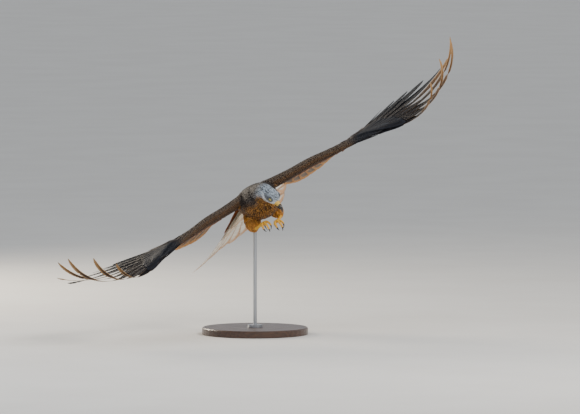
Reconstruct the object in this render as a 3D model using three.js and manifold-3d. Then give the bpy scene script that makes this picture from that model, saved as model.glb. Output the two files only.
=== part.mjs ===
// Red kite in banked flight with its head bent to its feet, held by a plain display stand
import * as THREE from "three";
import { mergeVertices } from "three/addons/utils/BufferGeometryUtils.js";
import Module from "manifold-3d";

const wasm = await Module();
wasm.setup();

// Pose of the bird above the base, in millimetres and degrees
const BANK = 28; // the left wing is raised by this much
const NOSE_UP = 8;
const HEIGHT = 440; // from the floor to the middle of the back
const OVER_BASE = [0, 20, -15]; // the point of the bird that stands over the middle of the base
const GAP = 0.35; // clearance between neighbouring nodes
const VANE = 0.8; // thickness of a feather vane
const SHINGLE = 4; // roll of each vane against the sheet its row makes
const SEED = 7;

// Stand
const BASE_RADIUS = 170;
const BASE_HEIGHT = 22;
const BASE_BEVEL = 3;
const ROD_RADIUS = 6;
const FLANGE_RADIUS = 24;
const FLANGE_HEIGHT = 8;
const ROD_INTO_BODY = 30;
const ROD_HOLE_CLEARANCE = 0.5;

// Torso sections from the tail base forward: back, middle height, half width, half height up and down
const TORSO = [
  [156, -14, 24, 9, 12],
  [138, -8, 34, 18, 22],
  [108, -3, 43, 29, 33],
  [72, -4, 53, 38, 42],
  [30, -6, 62, 47, 55],
  [-14, -10, 67, 54, 66],
  [-52, -11, 66, 55, 68],
  [-82, -11, 57, 50, 61],
  [-102, -11, 44, 39, 47],
  [-114, -11, 28, 24, 30],
];

// Neck path from inside the breast to the nape: left, back, up, radius
const NECK = [
  [2, -82, 3, 39],
  [5, -102, 2, 36],
  [8, -119, -2, 32],
  [12, -131, -7, 27],
];

// Head, placed by its middle, the way the bill points and the way the crown faces
const HEAD_AT = [15, -140, -16];
const HEAD_FORWARD = [0.103, -0.519, -0.849];
const HEAD_CROWN = [0.387, -0.765, 0.514];

// Head sections in the head's own frame: back, middle height, half width, half height up and down
const HEAD = [
  [35, 0, 9, 9, 9],
  [29, 0, 17, 16, 16],
  [20, 0, 23, 20.5, 21],
  [8, 0, 26, 22.5, 23.5],
  [-4, 0, 25.5, 22, 22.5],
  [-13, -0.5, 22.5, 20, 19.5],
  [-21, -2.5, 17, 16.5, 15],
  [-26, -4, 13, 13.2, 11.5],
  [-30, -5, 10.6, 10.8, 9],
];

// Cere and upper bill sections: back, middle height, half width, half height up and down
const CERE = [
  [-27, -5, 9.8, 9.8, 4.6],
  [-32, -5, 8.6, 9.2, 4],
  [-37, -5, 7.6, 8.6, 3.4],
  [-39.5, -5, 7, 8.1, 3.2],
];
const BILL_UPPER = [
  [-39.9, -5, 6.6, 7.8, 3.1],
  [-46, -5.6, 5.8, 7.4, 3],
  [-52, -7, 4.6, 6.4, 3.4],
  [-57, -10, 3.3, 4.8, 4.4],
  [-60, -14.5, 2.1, 3, 4],
  [-60.5, -19, 0.9, 1.5, 2],
];
const BILL_LOWER = [
  [-28, -11.6, 7.6, 1.6, 3.6],
  [-36, -11, 6.4, 1.6, 3.4],
  [-44, -10.9, 5, 1.5, 2.9],
  [-50, -11.9, 3.4, 1, 1.9],
];
const EYE_RADIUS = 7;
const EYE_AT = [15.6, -11, 4.5]; // left side, in the head's own frame
const LID_RADIUS = 8;
const EYE_OPENING = 5.6;
const EYE_TURN = 24; // the eye looks this far forward of sideways
// Brow ridge over the left eye: left, back, up, radius
const BROW = [
  [11, -22, 6, 1.4],
  [15, -17.5, 9.2, 3],
  [18.6, -11, 11.2, 3.8],
  [21, -3, 10.6, 3.4],
  [22.6, 5, 8.6, 1.6],
];
const NOSTRIL_AT = [7.4, -34.5, -2];
const NOSTRIL_RADIUS = 1.1;

// Wing body sections: left, forward and up of the leading edge, chord, thickness, leading edge up
const WING = [
  [38, 46, 18, 122, 44, 8],
  [70, 57, 17, 122, 40, 10],
  [130, 80, 17, 116, 35, 11],
  [195, 106, 18, 106, 33, 11],
  [255, 132, 13, 92, 30, 8],
  [300, 154, 9, 77, 27, 3],
  [330, 168, 5, 66, 24, -4],
  [365, 186, 1, 52, 20, -10],
  [400, 207, -3, 38, 16, -12],
  [430, 222, -5, 24, 11, -12],
  [444, 229, -6, 9, 5, -12],
];

// Outline of a wing section: share of the chord, share of the thickness
const AEROFOIL = [
  [0, 0.02],
  [0.05, 0.33],
  [0.17, 0.5],
  [0.4, 0.46],
  [0.7, 0.26],
  [1, 0.06],
  [1, -0.06],
  [0.66, -0.2],
  [0.36, -0.42],
  [0.15, -0.48],
  [0.04, -0.3],
];

// Fan of the primaries, seen from the wrist
const WRIST = [322, 155, 6];
const HAND_SWEEP = 29; // forward of the wing axis
const HAND_RISE = -1;
const HAND_PRONATION = 12; // leading edge down
// Each primary from the outermost in: along the hand, behind it, above it, fan angle, length, curl, lift
const PRIMARIES = [
  [104, 0, -6, -9.2, 275, 83, -7],
  [95, 4, -4.8, -3.1, 363, 85, -3],
  [84, 7, -3.6, 5.7, 431, 78, -1],
  [72, 9, -2.4, 14.1, 429, 67, 0],
  [60, 11, -1.2, 24.1, 393, 37, 0],
  [50, 13, 0, 33.5, 345, 16, 0],
  [40, 14, 1.2, 43, 302, 8, 0],
  [30, 15, 2.4, 52.5, 270, 4, -1],
  [20, 16, 3.6, 62, 250, 2, -3],
  [10, 17, 4.8, 71, 236, 0, -5],
];
const CURL_START = 0.3; // share of a primary that stays straight
const CURL_POWER = 1.3;
const FINGERS = 5; // the outermost primaries are notched to narrow fingers

// Secondaries from the wrist in: one row of values at each end of the arm, the rest in between
const SECONDARIES = 15;
const SECONDARY_ROOT = 0.46; // share of the wing chord
const SECONDARY_SPAN = [312, 74]; // left of the body
const SECONDARY_TURN = [-46, -96]; // direction seen from above
const SECONDARY_LIFT = [3.5, 2, 0, -2, -5, -7.5, -10, -11.5, -12.5, -12.5, -10.5, -6, -2, 0, 1];
const SECONDARY_LENGTH = [205, 178];
const SECONDARY_CURL = -3;
const LENGTH_VARIES = 2;

// Root of the tail: left, back, up, radius
const RUMP = [
  [0, 136, -12, 17],
  [2, 156, -17, 17],
  [6, 176, -23, 14],
  [11, 198, -30, 9],
];

// Tail fan
const TAIL_ROOT = [0, 146, -20];
const TAIL_YAW = 11.9;
const TAIL_DROP = 18.4;
const TAIL_ROLL = 6.6;
const TAIL_LENGTHS = [266, 271, 284, 303, 328, 360];
// From the middle feather out: fan angle, lift out of the fan, upward curl
const TAIL_RIGHT = [
  [3.8, 0, 0],
  [9.6, 0, 0],
  [16.3, 0, 0],
  [23.3, -1.5, 7.9],
  [30.9, -3, 9.9],
  [38.4, -5, 13.8],
];
const TAIL_LEFT = [
  [5, 0, 0],
  [13.5, 0, 0],
  [20.5, 1, 0],
  [25.7, 4.2, 3],
  [28.8, 8.6, 5],
  [31.4, 12.6, 3],
];
const TAIL_ROOT_STEP = 4.4;
const TAIL_OVERLAP = 1.2; // the left middle feather lies this much over the right one
const TAIL_OUTER_LEAD = 0.45; // the outermost feathers have a narrow outer vane
const TAIL_MIDDLE_ROLL = 1.5; // the two middle feathers lie flatter than the rest
const TAIL_COVERT_TIP = 4.4; // height of a tail covert's tip over the fan

// Legs: path points left, forward, up and radius, for the right and the left side
const THIGH = {
  right: [[-36, 2, -42, 28], [-47, 18, -60, 30], [-57, 32, -76, 24], [-62, 44, -87, 14], [-62, 50, -89, 7.5]],
  left: [[36, 0, -42, 27], [36, 16, -62, 28], [35, 33, -80, 21], [34, 46, -90, 12], [34, 51, -91, 7]],
};
const TARSUS = {
  right: [[-62, 46, -87, 4.9], [-49, 68, -84, 4.4], [-36, 88, -80, 5.6]],
  left: [[34, 47, -91, 4.9], [17, 73, -95, 4.4], [-2, 95, -96, 5.6]],
};
// Toes: turn from straight ahead, length, bend, radius
const TOES = [
  [40, 31, 112, 4.1],
  [3, 41, 125, 4.1],
  [-36, 32, 112, 3.9],
  [180, 24, 82, 4.3],
];
const CLAW_LENGTHS = [19, 20, 17, 21];
const FOOT_TURN = { right: -8, left: 6 };

// Seeded random numbers
let seedState = SEED;
function random() {
  seedState = (seedState * 1664525 + 1013904223) % 4294967296;
  return seedState / 4294967296;
}
function vary(amount) {
  return (random() * 2 - 1) * amount;
}

// Vectors
const DEG = Math.PI / 180;
function point(x, back, up) {
  return new THREE.Vector3(x, back, up);
}
function ahead(x, forward, up) {
  return new THREE.Vector3(x, -forward, up);
}
function mix(a, b, t) {
  return a + (b - a) * t;
}
function along(start, ...moves) {
  const p = start.clone();
  for (const [direction, distance] of moves) p.addScaledVector(direction, distance);
  return p;
}

// Solids
function solid(vertices, triangles) {
  const flat = new Float32Array(vertices.length * 3);
  vertices.forEach((p, i) => p.toArray(flat, i * 3));
  const geometry = new THREE.BufferGeometry();
  geometry.setAttribute("position", new THREE.BufferAttribute(flat, 3));
  geometry.setIndex(triangles.flat());
  return closed(geometry);
}

// A three.js geometry as a closed solid facing out
function closed(geometry) {
  geometry.deleteAttribute("normal");
  geometry.deleteAttribute("uv");
  const merged = mergeVertices(geometry, 1e-4);
  const index = merged.index.array;
  const position = merged.attributes.position;
  const triangles = [];
  const a = new THREE.Vector3();
  const b = new THREE.Vector3();
  const c = new THREE.Vector3();
  let volume = 0;
  for (let i = 0; i < index.length; i += 3) {
    if (index[i] === index[i + 1] || index[i + 1] === index[i + 2] || index[i] === index[i + 2]) continue;
    triangles.push(index[i], index[i + 1], index[i + 2]);
    a.fromBufferAttribute(position, index[i]);
    b.fromBufferAttribute(position, index[i + 1]);
    c.fromBufferAttribute(position, index[i + 2]);
    volume += a.dot(b.cross(c));
  }
  if (volume < 0)
    for (let i = 0; i < triangles.length; i += 3)
      [triangles[i + 1], triangles[i + 2]] = [triangles[i + 2], triangles[i + 1]];
  return new wasm.Manifold(
    new wasm.Mesh({
      numProp: 3,
      vertProperties: new Float32Array(position.array),
      triVerts: new Uint32Array(triangles),
    }),
  );
}

// A solid through rings of points, closed by a fan at each end
function loft(rings) {
  const count = rings[0].length;
  const vertices = rings.flat();
  const triangles = [];
  for (let k = 0; k + 1 < rings.length; k++)
    for (let j = 0; j < count; j++) {
      const next = (j + 1) % count;
      const [p, q] = [k * count + j, k * count + next];
      triangles.push([p, q, q + count], [p, q + count, p + count]);
    }
  for (const [start, flip] of [[0, true], [(rings.length - 1) * count, false]]) {
    const middle = new THREE.Vector3();
    for (let j = 0; j < count; j++) middle.addScaledVector(vertices[start + j], 1 / count);
    vertices.push(middle);
    const m = vertices.length - 1;
    for (let j = 0; j < count; j++) {
      const [p, q] = [start + j, start + ((j + 1) % count)];
      triangles.push(flip ? [m, q, p] : [m, p, q]);
    }
  }
  return solid(vertices, triangles);
}

// A body through upright sections: back, middle height, half width, half height up and down
function sectionLoft(sections, sides, grow = 0) {
  const first = sections[0][0];
  const last = sections[sections.length - 1][0];
  const way = Math.sign(last - first);
  return loft(
    sections.map(([back, middle, half, up, down], k) => {
      const end = k === 0 ? -way : k === sections.length - 1 ? way : 0;
      const ring = [];
      for (let j = 0; j < sides; j++) {
        const a = (2 * Math.PI * j) / sides;
        const high = Math.sin(a) > 0 ? up : down;
        ring.push(point((half + grow) * Math.cos(a), back + end * grow, middle + (high + grow) * Math.sin(a)));
      }
      return ring;
    }),
  );
}

// A round limb along points with a radius each
function limb(path, sides, grow = 0) {
  const points = path.map(([x, y, z]) => point(x, y, z));
  const end = points.length - 1;
  const startWay = points[0].clone().sub(points[1]).normalize();
  const endWay = points[end].clone().sub(points[end - 1]).normalize();
  points[0].addScaledVector(startWay, grow);
  points[end].addScaledVector(endWay, grow);
  const rings = points.map((p, k) => {
    const before = points[Math.max(0, k - 1)];
    const after = points[Math.min(points.length - 1, k + 1)];
    const way = after.clone().sub(before).normalize();
    const side = new THREE.Vector3(1, 0, 0).addScaledVector(way, -way.x);
    if (side.length() < 0.3) side.set(0, 1, 0).addScaledVector(way, -way.y);
    side.normalize();
    const top = way.clone().cross(side);
    const ring = [];
    for (let j = 0; j < sides; j++) {
      const a = (2 * Math.PI * j) / sides;
      const r = path[k][3] + grow;
      ring.push(along(p, [side, r * Math.cos(a)], [top, r * Math.sin(a)]));
    }
    return ring;
  });
  return loft(rings);
}

// The largest closed surface of a solid
function largest(shape) {
  return shape.decompose().sort((a, b) => b.volume() - a.volume())[0];
}

function union(shapes) {
  return shapes.reduce((whole, shape) => whole.add(shape));
}

// A feather vane along stations of point, width direction, thickness direction, and widths ahead and behind
function vane(stations, thickness = VANE) {
  const rings = stations.map(({ at, width, normal, lead, trail }, k) => {
    const half = (k === stations.length - 1 ? 0.6 : 1) * 0.5 * thickness;
    return [
      along(at, [width, lead], [normal, half]),
      along(at, [width, lead], [normal, -half]),
      along(at, [width, -trail], [normal, -half]),
      along(at, [width, -trail], [normal, half]),
    ];
  });
  return loft(rings);
}

// Width and normal of a vane: the sheet direction made square to the shaft, then rolled leading edge up
function frameOf(tangent, sheet, roll) {
  const width = sheet.clone().addScaledVector(tangent, -sheet.dot(tangent)).normalize();
  const normal = tangent.clone().cross(width).normalize();
  if (normal.z < 0 && Math.abs(tangent.z) < 0.6) normal.negate();
  const c = Math.cos(roll * DEG);
  const s = Math.sin(roll * DEG);
  return {
    width: along(new THREE.Vector3(), [width, c], [normal, s]),
    normal: along(new THREE.Vector3(), [normal, c], [width, -s]),
  };
}

// Wing sections and points on them
function wingSection(x) {
  let k = 0;
  while (k < WING.length - 2 && WING[k + 1][0] < x) k++;
  const t = (x - WING[k][0]) / (WING[k + 1][0] - WING[k][0]);
  return WING[k].map((value, i) => mix(value, WING[k + 1][i], t));
}
function onSection([x, forward, up, chord, thickness, incidence], share, high, grow = 0) {
  const c = Math.cos(incidence * DEG);
  const s = Math.sin(incidence * DEG);
  const back = (share - 0.5) * (chord + 2 * grow) + 0.5 * chord;
  const lift = high * (thickness + 2 * grow);
  return ahead(x, forward - back * c + lift * s, up - back * s + lift * c);
}
function wingBody(grow = 0) {
  return loft(WING.map((section) => AEROFOIL.map(([share, high]) => onSection(section, share, high, grow))));
}

// Primary shafts: points by share of the length
const sweep = HAND_SWEEP * DEG;
const rise = HAND_RISE * DEG;
const handOut = ahead(Math.cos(sweep) * Math.cos(rise), Math.sin(sweep) * Math.cos(rise), Math.sin(rise));
const pronation = HAND_PRONATION * DEG;
const handBack = point(
  Math.sin(sweep) * Math.cos(pronation),
  Math.cos(sweep) * Math.cos(pronation),
  Math.sin(pronation),
);
handBack.addScaledVector(handOut, -handBack.dot(handOut)).normalize();
const handUp = handOut.clone().cross(handBack);
const wrist = ahead(...WRIST);
const SHAFT_STEPS = 40;

function shaftPoints(root, start, up, length, curl) {
  const points = [root.clone()];
  for (let i = 0; i < SHAFT_STEPS; i++) {
    const share = (i + 0.5) / SHAFT_STEPS;
    const bent = Math.max(0, (share - CURL_START) / (1 - CURL_START)) ** CURL_POWER * curl * DEG;
    const step = length / SHAFT_STEPS;
    points.push(along(points[i], [start, Math.cos(bent) * step], [up, Math.sin(bent) * step]));
  }
  return points;
}
function liftedShaft(root, flat, over, lift, length, curl) {
  const start = along(new THREE.Vector3(), [flat, Math.cos(lift * DEG)], [over, Math.sin(lift * DEG)]);
  const up = along(new THREE.Vector3(), [over, Math.cos(lift * DEG)], [flat, -Math.sin(lift * DEG)]);
  return shaftPoints(root, start, up, length, curl);
}
function primaryShaft([out, back, over, turn, length, curl, lift]) {
  const root = along(wrist, [handOut, out], [handBack, back], [handUp, over]);
  const flat = along(
    new THREE.Vector3(),
    [handOut, Math.cos(turn * DEG)],
    [handBack, Math.sin(turn * DEG)],
  );
  return liftedShaft(root, flat, handUp, lift, length, curl);
}
function secondaryShaft(i) {
  const t = i / (SECONDARIES - 1);
  const root = onSection(wingSection(mix(...SECONDARY_SPAN, t)), SECONDARY_ROOT, 0);
  const turn = mix(...SECONDARY_TURN, t) * DEG;
  const lift = SECONDARY_LIFT[i] * DEG;
  const length = mix(...SECONDARY_LENGTH, t) + vary(LENGTH_VARIES);
  const start = ahead(Math.cos(turn) * Math.cos(lift), Math.sin(turn) * Math.cos(lift), Math.sin(lift));
  const up = point(0, 0, 1).addScaledVector(start, -start.z).normalize();
  return shaftPoints(root, start, up, length, SECONDARY_CURL);
}
const shafts = [
  ...PRIMARIES.map(primaryShaft),
  ...Array.from({ length: SECONDARIES }, (_, i) => secondaryShaft(i)),
];
function at(shaft, share) {
  const k = Math.min(SHAFT_STEPS - 1, Math.floor(share * SHAFT_STEPS));
  return shaft[k].clone().lerp(shaft[k + 1], share * SHAFT_STEPS - k);
}
function tangentAt(shaft, share) {
  const k = Math.min(SHAFT_STEPS - 1, Math.floor(share * SHAFT_STEPS));
  return shaft[k + 1].clone().sub(shaft[k]).normalize();
}

// Direction of the sheet across the shafts, toward the leading edge
function sheetAt(i, share) {
  const outer = Math.max(0, i - 1);
  const inner = Math.min(shafts.length - 1, i + 1);
  return at(shafts[outer], share).sub(at(shafts[inner], share)).normalize();
}
const leadOfHand = handBack.clone().negate();

// A finger lies in the sheet up to its notch, then turns to face the flight
const FINGER_TURN_START = 0.38;
const FINGER_TURN_SPAN = 0.3;
function fingerSheet(i, share) {
  const turned = Math.min(1, Math.max(0, (share - FINGER_TURN_START) / FINGER_TURN_SPAN));
  return sheetAt(i, share).lerp(leadOfHand, turned).normalize();
}

// Widths of the flight feathers by share of the length: share, ahead, behind
const FINGER_WIDTHS = [
  [0, 2, 2],
  [0.12, 6, 12],
  [0.24, 9, 27],
  [0.38, 9, 30],
  [0.5, 7, 16],
  [0.68, 6, 14],
  [0.86, 5.5, 12],
  [0.96, 4, 8],
  [1, 1.5, 3],
];
const INNER_WIDTHS = [
  [0, 2, 2],
  [0.12, 7, 12],
  [0.3, 14, 30],
  [0.6, 17, 36],
  [0.86, 16, 32],
  [0.96, 10, 20],
  [1, 4, 6],
];
const SECONDARY_WIDTHS = [
  [0, 3, 3],
  [0.2, 10, 17],
  [0.5, 13, 25],
  [0.85, 14, 25],
  [0.96, 9, 15],
  [1, 3, 4],
];

function flightVane(i) {
  const finger = i < FINGERS;
  const table = finger ? FINGER_WIDTHS : i < PRIMARIES.length ? INNER_WIDTHS : SECONDARY_WIDTHS;
  const narrow = i === 0 ? 0.78 : 1;
  const stations = table.map(([share, lead, trail]) => {
    const tangent = tangentAt(shafts[i], share);
    const sheet = finger ? fingerSheet(i, share) : sheetAt(i, share);
    return { at: at(shafts[i], share), ...frameOf(tangent, sheet, SHINGLE), lead: lead * narrow, trail: trail * narrow };
  });
  return vane(stations);
}

// Coverts ride on the shafts of a row at a height that falls to the tip
function coverts(list, reach, high, low, lead, trail, roll) {
  return list.map((i) => {
    const stations = [0, 0.35, 0.75, 0.93, 1].map((t, k) => {
      const share = 0.04 + reach * t;
      const tangent = tangentAt(shafts[i], share);
      const sheet = sheetAt(i, share);
      const frame = frameOf(tangent, sheet, roll);
      const widen = [0.35, 0.85, 1, 0.7, 0.25][k];
      return {
        at: along(at(shafts[i], share), [frame.normal, mix(high, low, t)]),
        ...frame,
        lead: lead * widen,
        trail: trail * widen,
      };
    });
    return vane(stations);
  });
}

// Primary coverts: a fan of their own over the roots of the primaries
const PRIMARY_COVERT_WIDTHS = [
  [0, 3, 4],
  [0.3, 8, 16],
  [0.75, 10, 20],
  [0.93, 7, 13],
  [1, 2, 4],
];
function primaryCoverts(over, reach, step) {
  return [1, 2, 4, 6, 8].map((i, k) => {
    const [out, back, , turn] = PRIMARIES[i];
    const root = along(wrist, [handOut, out * 0.86], [handBack, back], [handUp, over + step * k]);
    const start = along(
      new THREE.Vector3(),
      [handOut, Math.cos(turn * DEG)],
      [handBack, Math.sin(turn * DEG)],
    );
    return vane(
      PRIMARY_COVERT_WIDTHS.map(([share, lead, trail]) => ({
        at: along(root, [start, share * reach], [handUp, -share * 2]),
        ...frameOf(start, leadOfHand, SHINGLE),
        lead,
        trail,
      })),
    );
  });
}

// Alula: three short feathers along the leading edge of the hand, root and tip of each
const ALULA = [
  [[332, 163.5, -1.6], [404, 203, -15.2]],
  [[329, 161.5, 0.6], [391, 195.5, -11.2]],
  [[326, 159.5, 2.8], [378, 188, -7.2]],
];
const ALULA_WIDTHS = [
  [0, 3, 4],
  [0.4, 5, 11],
  [0.85, 4, 9],
  [1, 1, 3],
];
function alula() {
  return ALULA.map(([rootAt, tipAt]) => {
    const root = ahead(...rootAt);
    const tip = ahead(...tipAt);
    const start = tip.clone().sub(root).normalize();
    const length = tip.distanceTo(root);
    return vane(
      ALULA_WIDTHS.map(([share, lead, trail]) => ({
        at: along(root, [start, share * length]),
        ...frameOf(start, leadOfHand, SHINGLE),
        lead,
        trail,
      })),
    );
  });
}

// Left wing whole, then parted between the innermost primary and the outermost secondary
const rows = Array.from({ length: SECONDARIES - 1 }, (_, k) => PRIMARIES.length + k);
const wing = union([
  wingBody(),
  ...shafts.map((_, i) => flightVane(i)),
  ...coverts(rows, 0.36, 11, 4.6, 10, 14, SHINGLE),
  ...coverts(rows.filter((_, k) => k % 2 === 0), 0.34, -10, -5, 17, 22, SHINGLE),
  ...primaryCoverts(10.4, 92, 1.3),
  ...alula(),
]);
const lastPrimary = shafts[PRIMARIES.length - 1];
const firstSecondary = shafts[PRIMARIES.length];
const partTip = at(lastPrimary, 1).lerp(at(firstSecondary, 1), 0.5);
const PART_ROOT = [318, 152, 4];
const PART_BOX = [700, GAP, 400];
const partRoot = ahead(...PART_ROOT);
const partWay = partTip.clone().sub(partRoot).setZ(0).normalize();
const partBox = new THREE.BoxGeometry(...PART_BOX);
const partTurn = new THREE.Matrix4().makeBasis(
  partWay,
  point(0, 0, 1).cross(partWay),
  point(0, 0, 1),
);
partBox.applyMatrix4(partTurn.setPosition(along(partRoot, [partWay, 150])));
const [wingOne, wingTwo] = wing.subtract(closed(partBox)).decompose().sort((a, b) => b.volume() - a.volume());
const [armWhole, handWhole] =
  wingOne.boundingBox().max[0] < wingTwo.boundingBox().max[0] ? [wingOne, wingTwo] : [wingTwo, wingOne];

// A solid as a three.js geometry, and its mirror image
function geometryOf(shape) {
  const mesh = shape.getMesh();
  const n = mesh.numProp;
  const flat = new Float32Array(mesh.numVert * 3);
  for (let i = 0; i < mesh.numVert; i++) flat.set(mesh.vertProperties.subarray(i * n, i * n + 3), i * 3);
  const geometry = new THREE.BufferGeometry();
  geometry.setAttribute("position", new THREE.BufferAttribute(flat, 3));
  geometry.setIndex(new THREE.BufferAttribute(new Uint32Array(mesh.triVerts), 1));
  return geometry;
}
function mirrored(shape) {
  return closed(geometryOf(shape).applyMatrix4(new THREE.Matrix4().makeScale(-1, 1, 1)));
}

// Torso, neck and head, each cut clear of the one before
const torsoRaw = sectionLoft(TORSO, 24);
const torsoGrown = sectionLoft(TORSO, 24, GAP);
const headTurn = new THREE.Matrix4();
const headForward = point(...HEAD_FORWARD).normalize();
const headCrown = point(...HEAD_CROWN);
headCrown.addScaledVector(headForward, -headCrown.dot(headForward)).normalize();
const headLeft = headCrown.clone().cross(headForward);
headTurn.makeBasis(headLeft, headForward.clone().negate(), headCrown).setPosition(...HEAD_AT);
function onHead(shape) {
  return closed(geometryOf(shape).applyMatrix4(headTurn));
}
function ball(x, back, up, radius, detail = 2) {
  return closed(new THREE.IcosahedronGeometry(radius, detail).translate(x, back, up));
}
const [eyeX, eyeBack, eyeUp] = EYE_AT;
const lids = [1, -1].map((side) => ball(side * eyeX, eyeBack, eyeUp, LID_RADIUS));
const brows = [1, -1].map((side) => limb(BROW.map(([x, y, z, r]) => [side * x, y, z, r]), 10));
const sockets = [1, -1].map((side) => ball(side * eyeX, eyeBack, eyeUp, EYE_RADIUS + GAP));
const eyes = [1, -1].map((side) => ball(side * eyeX, eyeBack, eyeUp, EYE_RADIUS));
const openings = [1, -1].map((side) =>
  closed(
    new THREE.CylinderGeometry(EYE_OPENING, EYE_OPENING, 24, 20)
      .rotateZ(Math.PI / 2)
      .translate(side * 12, 0, 0)
      .rotateZ(-side * EYE_TURN * DEG)
      .translate(side * eyeX, eyeBack, eyeUp),
  ),
);
const mouth = sectionLoft(BILL_LOWER, 14, GAP);
const cereGrown = sectionLoft(CERE, 14, GAP);
const nostrils = [1, -1].map((side) =>
  closed(
    new THREE.CylinderGeometry(NOSTRIL_RADIUS, NOSTRIL_RADIUS, 6, 8)
      .rotateZ(Math.PI / 2)
      .translate(side * NOSTRIL_AT[0], NOSTRIL_AT[1], NOSTRIL_AT[2]),
  ),
);
const headLocal = [mouth, cereGrown, ...openings, ...sockets].reduce(
  (rest, cut) => rest.subtract(cut),
  union([sectionLoft(HEAD, 20), ...lids, ...brows]),
);
const headGrown = onHead(sectionLoft(HEAD, 20, GAP));
const cereLocal = nostrils.reduce((rest, cut) => rest.subtract(cut), sectionLoft(CERE, 14).subtract(mouth));
const billUpperLocal = sectionLoft(BILL_UPPER, 14).subtract(mouth);

const neckRaw = limb(NECK, 20);
const neck = largest(neckRaw.subtract(torsoGrown).subtract(headGrown));

// Arms end at the torso; points closer than the merge distance become one
const welded = (shape) => closed(geometryOf(shape));
const armLeft = welded(largest(armWhole.subtract(torsoGrown)));
const handLeft = welded(handWhole);

// Tail fan
const tailRoot = point(...TAIL_ROOT);
const yaw = TAIL_YAW * DEG;
const drop = TAIL_DROP * DEG;
const tailBack = point(Math.sin(yaw) * Math.cos(drop), Math.cos(yaw) * Math.cos(drop), -Math.sin(drop));
const tailLevel = tailBack.clone().cross(point(0, 0, 1)).normalize();
const tailLift = tailLevel.clone().cross(tailBack);
const tailLeft = along(
  new THREE.Vector3(),
  [tailLevel, Math.cos(TAIL_ROLL * DEG)],
  [tailLift, Math.sin(TAIL_ROLL * DEG)],
);
const tailUp = tailLeft.clone().cross(tailBack);
const tailShafts = [];
for (let k = -6; k <= 6; k++) {
  if (k === 0) continue;
  const order = Math.abs(k) - 0.5;
  const side = Math.sign(k);
  const [turn, lift, curl] = (side > 0 ? TAIL_LEFT : TAIL_RIGHT)[Math.abs(k) - 1];
  const root = along(tailRoot, [tailLeft, side * order * TAIL_ROOT_STEP], [tailUp, k === 1 ? TAIL_OVERLAP : 0]);
  const flat = along(
    new THREE.Vector3(),
    [tailBack, Math.cos(turn * DEG)],
    [tailLeft, side * Math.sin(turn * DEG)],
  );
  const length = TAIL_LENGTHS[Math.abs(k) - 1];
  tailShafts.push(liftedShaft(root, flat, tailUp, lift, length, curl));
}
const TAIL_WIDTHS = [
  [0, 2.5, 2.5],
  [0.15, 8, 9],
  [0.45, 17, 20],
  [0.85, 21, 27],
  [0.96, 16, 17],
  [1, 6, 4],
];
const TAIL_COVERT_WIDTHS = [
  [0, 4, 4],
  [0.4, 10, 11],
  [0.8, 12, 13],
  [1, 4, 4],
];
// Width and normal across the fan, the outer edge of each vane rolled up
function tailFrame(i, share) {
  const left = i >= 6;
  const outer = left ? Math.min(11, i + 1) : Math.max(0, i - 1);
  const inner = left ? Math.max(6, i - 1) : Math.min(5, i + 1);
  const sheet = at(tailShafts[outer], share).sub(at(tailShafts[inner], share));
  const central = i === 5 || i === 6;
  return frameOf(tangentAt(tailShafts[i], share), sheet, central ? TAIL_MIDDLE_ROLL : SHINGLE);
}
function tailVane(i) {
  const narrow = i === 0 || i === 11 ? TAIL_OUTER_LEAD : 1;
  return vane(
    TAIL_WIDTHS.map(([share, lead, trail]) => ({
      at: at(tailShafts[i], share),
      ...tailFrame(i, share),
      lead: lead * narrow,
      trail,
    })),
  );
}
function tailCovert(i, high, reach) {
  return vane(
    TAIL_COVERT_WIDTHS.map(([share, lead, trail]) => {
      const frame = tailFrame(i, share * reach);
      const over = mix(high, Math.sign(high) * TAIL_COVERT_TIP, share);
      return { at: along(at(tailShafts[i], share * reach), [frame.normal, over]), ...frame, lead, trail };
    }),
  );
}
const rump = limb(RUMP, 16);
const tail = largest(
  union([
    rump,
    ...tailShafts.map((_, i) => tailVane(i)),
    ...[1, 3, 5, 6, 8, 10].map((i) => tailCovert(i, 7, 0.36)),
    ...[1, 3, 5, 6, 8, 10].map((i) => tailCovert(i, -7, 0.42)),
  ]).subtract(torsoGrown),
);

// Legs and feet
function leg(side) {
  const turned = (list) => list.map(([x, forward, up, r]) => [x, -forward, up, r]);
  const thighPath = turned(THIGH[side]);
  const thigh = limb(thighPath, 16).subtract(torsoGrown);
  const thighGrown = limb(thighPath, 16, GAP);
  const tarsusPath = turned(TARSUS[side]);
  const tarsus = limb(tarsusPath, 12);
  const hub = point(...tarsusPath[2].slice(0, 3));
  const palm = ball(hub.x, hub.y, hub.z, 6.2, 1);
  const turnBase = FOOT_TURN[side];
  const toes = [];
  const claws = [];
  TOES.forEach(([turn, length, bend, radius], k) => {
    const heading = (turn + turnBase) * DEG;
    const out = ahead(Math.sin(heading), Math.cos(heading), 0);
    const path = [];
    const spot = hub.clone();
    const pieces = 7;
    for (let i = 0; i <= pieces; i++) {
      const share = i / pieces;
      const joint = 1 + 0.14 * Math.cos(share * Math.PI * (k === 3 ? 2 : 6));
      path.push([spot.x, spot.y, spot.z, radius * joint * (1 - 0.28 * share)]);
      const angle = (18 - bend * (share + 0.5 / pieces)) * DEG;
      spot.addScaledVector(out, (Math.cos(angle) * length) / pieces);
      spot.z += (Math.sin(angle) * length) / pieces;
    }
    toes.push(limb(path, 9));
    const clawPath = [];
    const [x, y, z] = path[pieces];
    const tip = point(x, y, z);
    for (let i = 0; i <= 5; i++) {
      const share = i / 5;
      clawPath.push([tip.x, tip.y, tip.z, mix(2.7, 0.35, share ** 0.8)]);
      const angle = (18 - bend - 8 - 62 * share) * DEG;
      tip.addScaledVector(out, (Math.cos(angle) * CLAW_LENGTHS[k]) / 5);
      tip.z += (Math.sin(angle) * CLAW_LENGTHS[k]) / 5;
    }
    claws.push(limb(clawPath, 8));
  });
  const foot = union([tarsus, palm, ...toes]).subtract(thighGrown);
  return { thigh: largest(thigh), foot, claws };
}
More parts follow.
